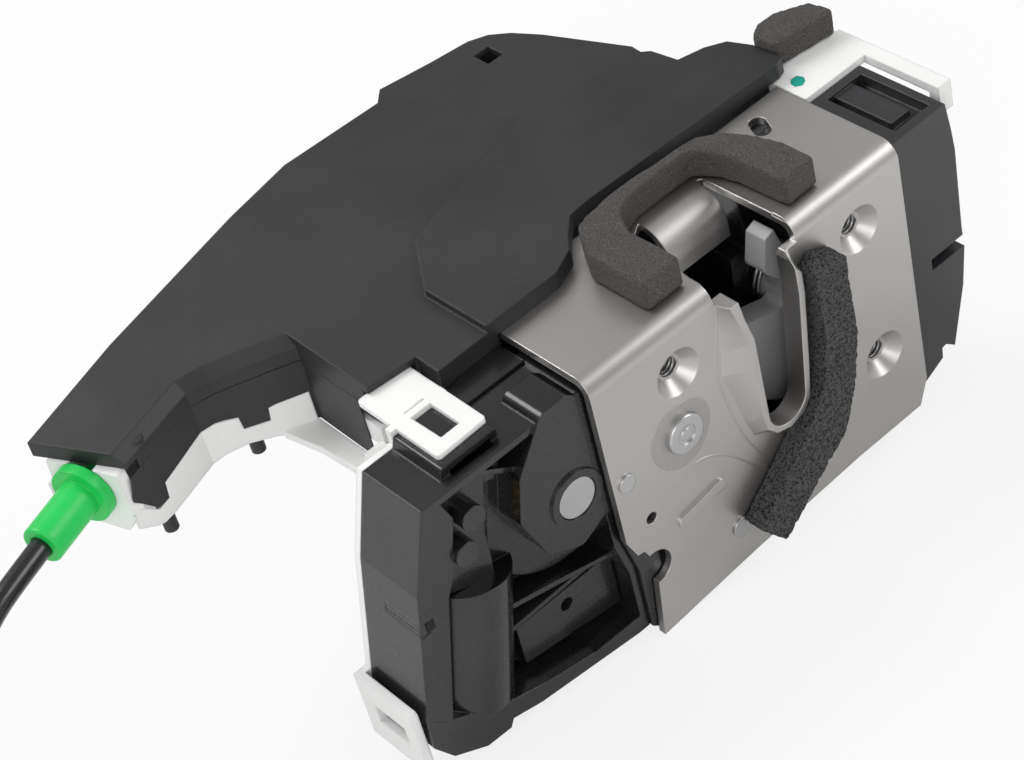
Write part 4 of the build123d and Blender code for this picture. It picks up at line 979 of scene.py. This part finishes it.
@dataclass
class Studio:
    """Camera, lamps, world and floor."""

    camera_at: Point = (-0.2395, -0.3320, 0.3752)
    right: Point = (0.7323, -0.6504, -0.2016)
    up: Point = (0.5622, 0.4104, 0.7180)
    back: Point = (-0.3842, -0.6392, 0.6662)
    lens: float = 92.3
    floor: float = -0.0672
    floor_drop: float = 0.0002
    floor_half: float = 4.0
    floor_tone: float = 0.8
    floor_glow: float = 0.8
    sky: float = 0.45
    lamps: tuple[Lamp, ...] = (
        Lamp("key", (-0.35, 0.75, 0.95), size=0.7, power=9.0),
        Lamp("front", (-0.75, -0.75, 0.55), size=0.8, power=5.0),
        Lamp("side", (0.85, -0.45, 0.65), size=0.6, power=4.5),
    )

    def camera(self) -> None:
        """Places the camera of the photograph."""
        data = bpy.data.cameras.new("camera")
        data.lens = self.lens
        data.sensor_fit = "HORIZONTAL"
        data.sensor_width = 36.0
        data.clip_start = 0.01
        turn = Matrix((self.right, self.up, self.back)).transposed().to_4x4()
        camera = link("camera", data)
        camera.matrix_world = Matrix.Translation(self.camera_at) @ turn
        bpy.context.scene.camera = camera

    def surroundings(self) -> None:
        """Adds the world: plain light, and pure white where the camera sees it."""
        graph = ShaderGraph.world("studio")
        seen = graph.node("ShaderNodeLightPath", output="Is Camera Ray")
        light = graph.node("ShaderNodeBackground", sockets={"Color": PURE_WHITE, "Strength": self.sky})
        white = graph.node("ShaderNodeBackground", sockets={"Color": PURE_WHITE})
        both = graph.node("ShaderNodeMixShader", sockets={0: seen, 1: light, 2: white})
        bpy.context.scene.world = graph.finish(both)

    def ground(self) -> None:
        """Lays the white floor."""
        form = bmesh.new()
        bmesh.ops.create_grid(form, x_segments=1, y_segments=1, size=self.floor_half)
        floor = link("floor", mesh_of("floor", form))
        floor.location.z = self.floor - self.floor_drop
        graph = ShaderGraph.material("floor white")
        seen = graph.node("ShaderNodeLightPath", output="Is Camera Ray")
        white = graph.node("ShaderNodeEmission", sockets={"Strength": 1.0})
        grey = (self.floor_tone, self.floor_tone, self.floor_tone, 1.0)
        plain = graph.node("ShaderNodeBsdfDiffuse", sockets={"Color": grey})
        both = graph.node("ShaderNodeMixShader", sockets={0: seen * self.floor_glow, 1: plain, 2: white})
        floor.data.materials.append(graph.finish(both))

    def build(self) -> None:
        """Builds all of it."""
        self.camera()
        for lamp in self.lamps:
            lamp.build()
        self.surroundings()
        self.ground()
        bpy.context.scene.view_settings.view_transform = "Standard"
        LOG.info("studio")


def dress_nodes(nodes: Mapping[str, bpy.types.Object]) -> None:
    """Gives every CAD node its finish.

    Args:
        nodes: The CAD nodes by name.
    """
    for finish, names in NODE_FINISH.items():
        for name in names:
            dress(nodes[name], finish)
    LOG.info("%d nodes dressed", len(nodes))


def main() -> None:
    """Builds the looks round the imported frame."""
    logging.basicConfig(level=logging.INFO)
    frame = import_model()
    Studio().build()
    dress_nodes(frame["nodes"])
    HandleCable().build()
    HousingTrim().build()
    WingTrim().build()
    PlateTrim().build()
    BracketTrim().build()
    for pad in FOAM_PADS:
        pad.build(frame["nodes"])


if __name__ == "__main__":
    main()
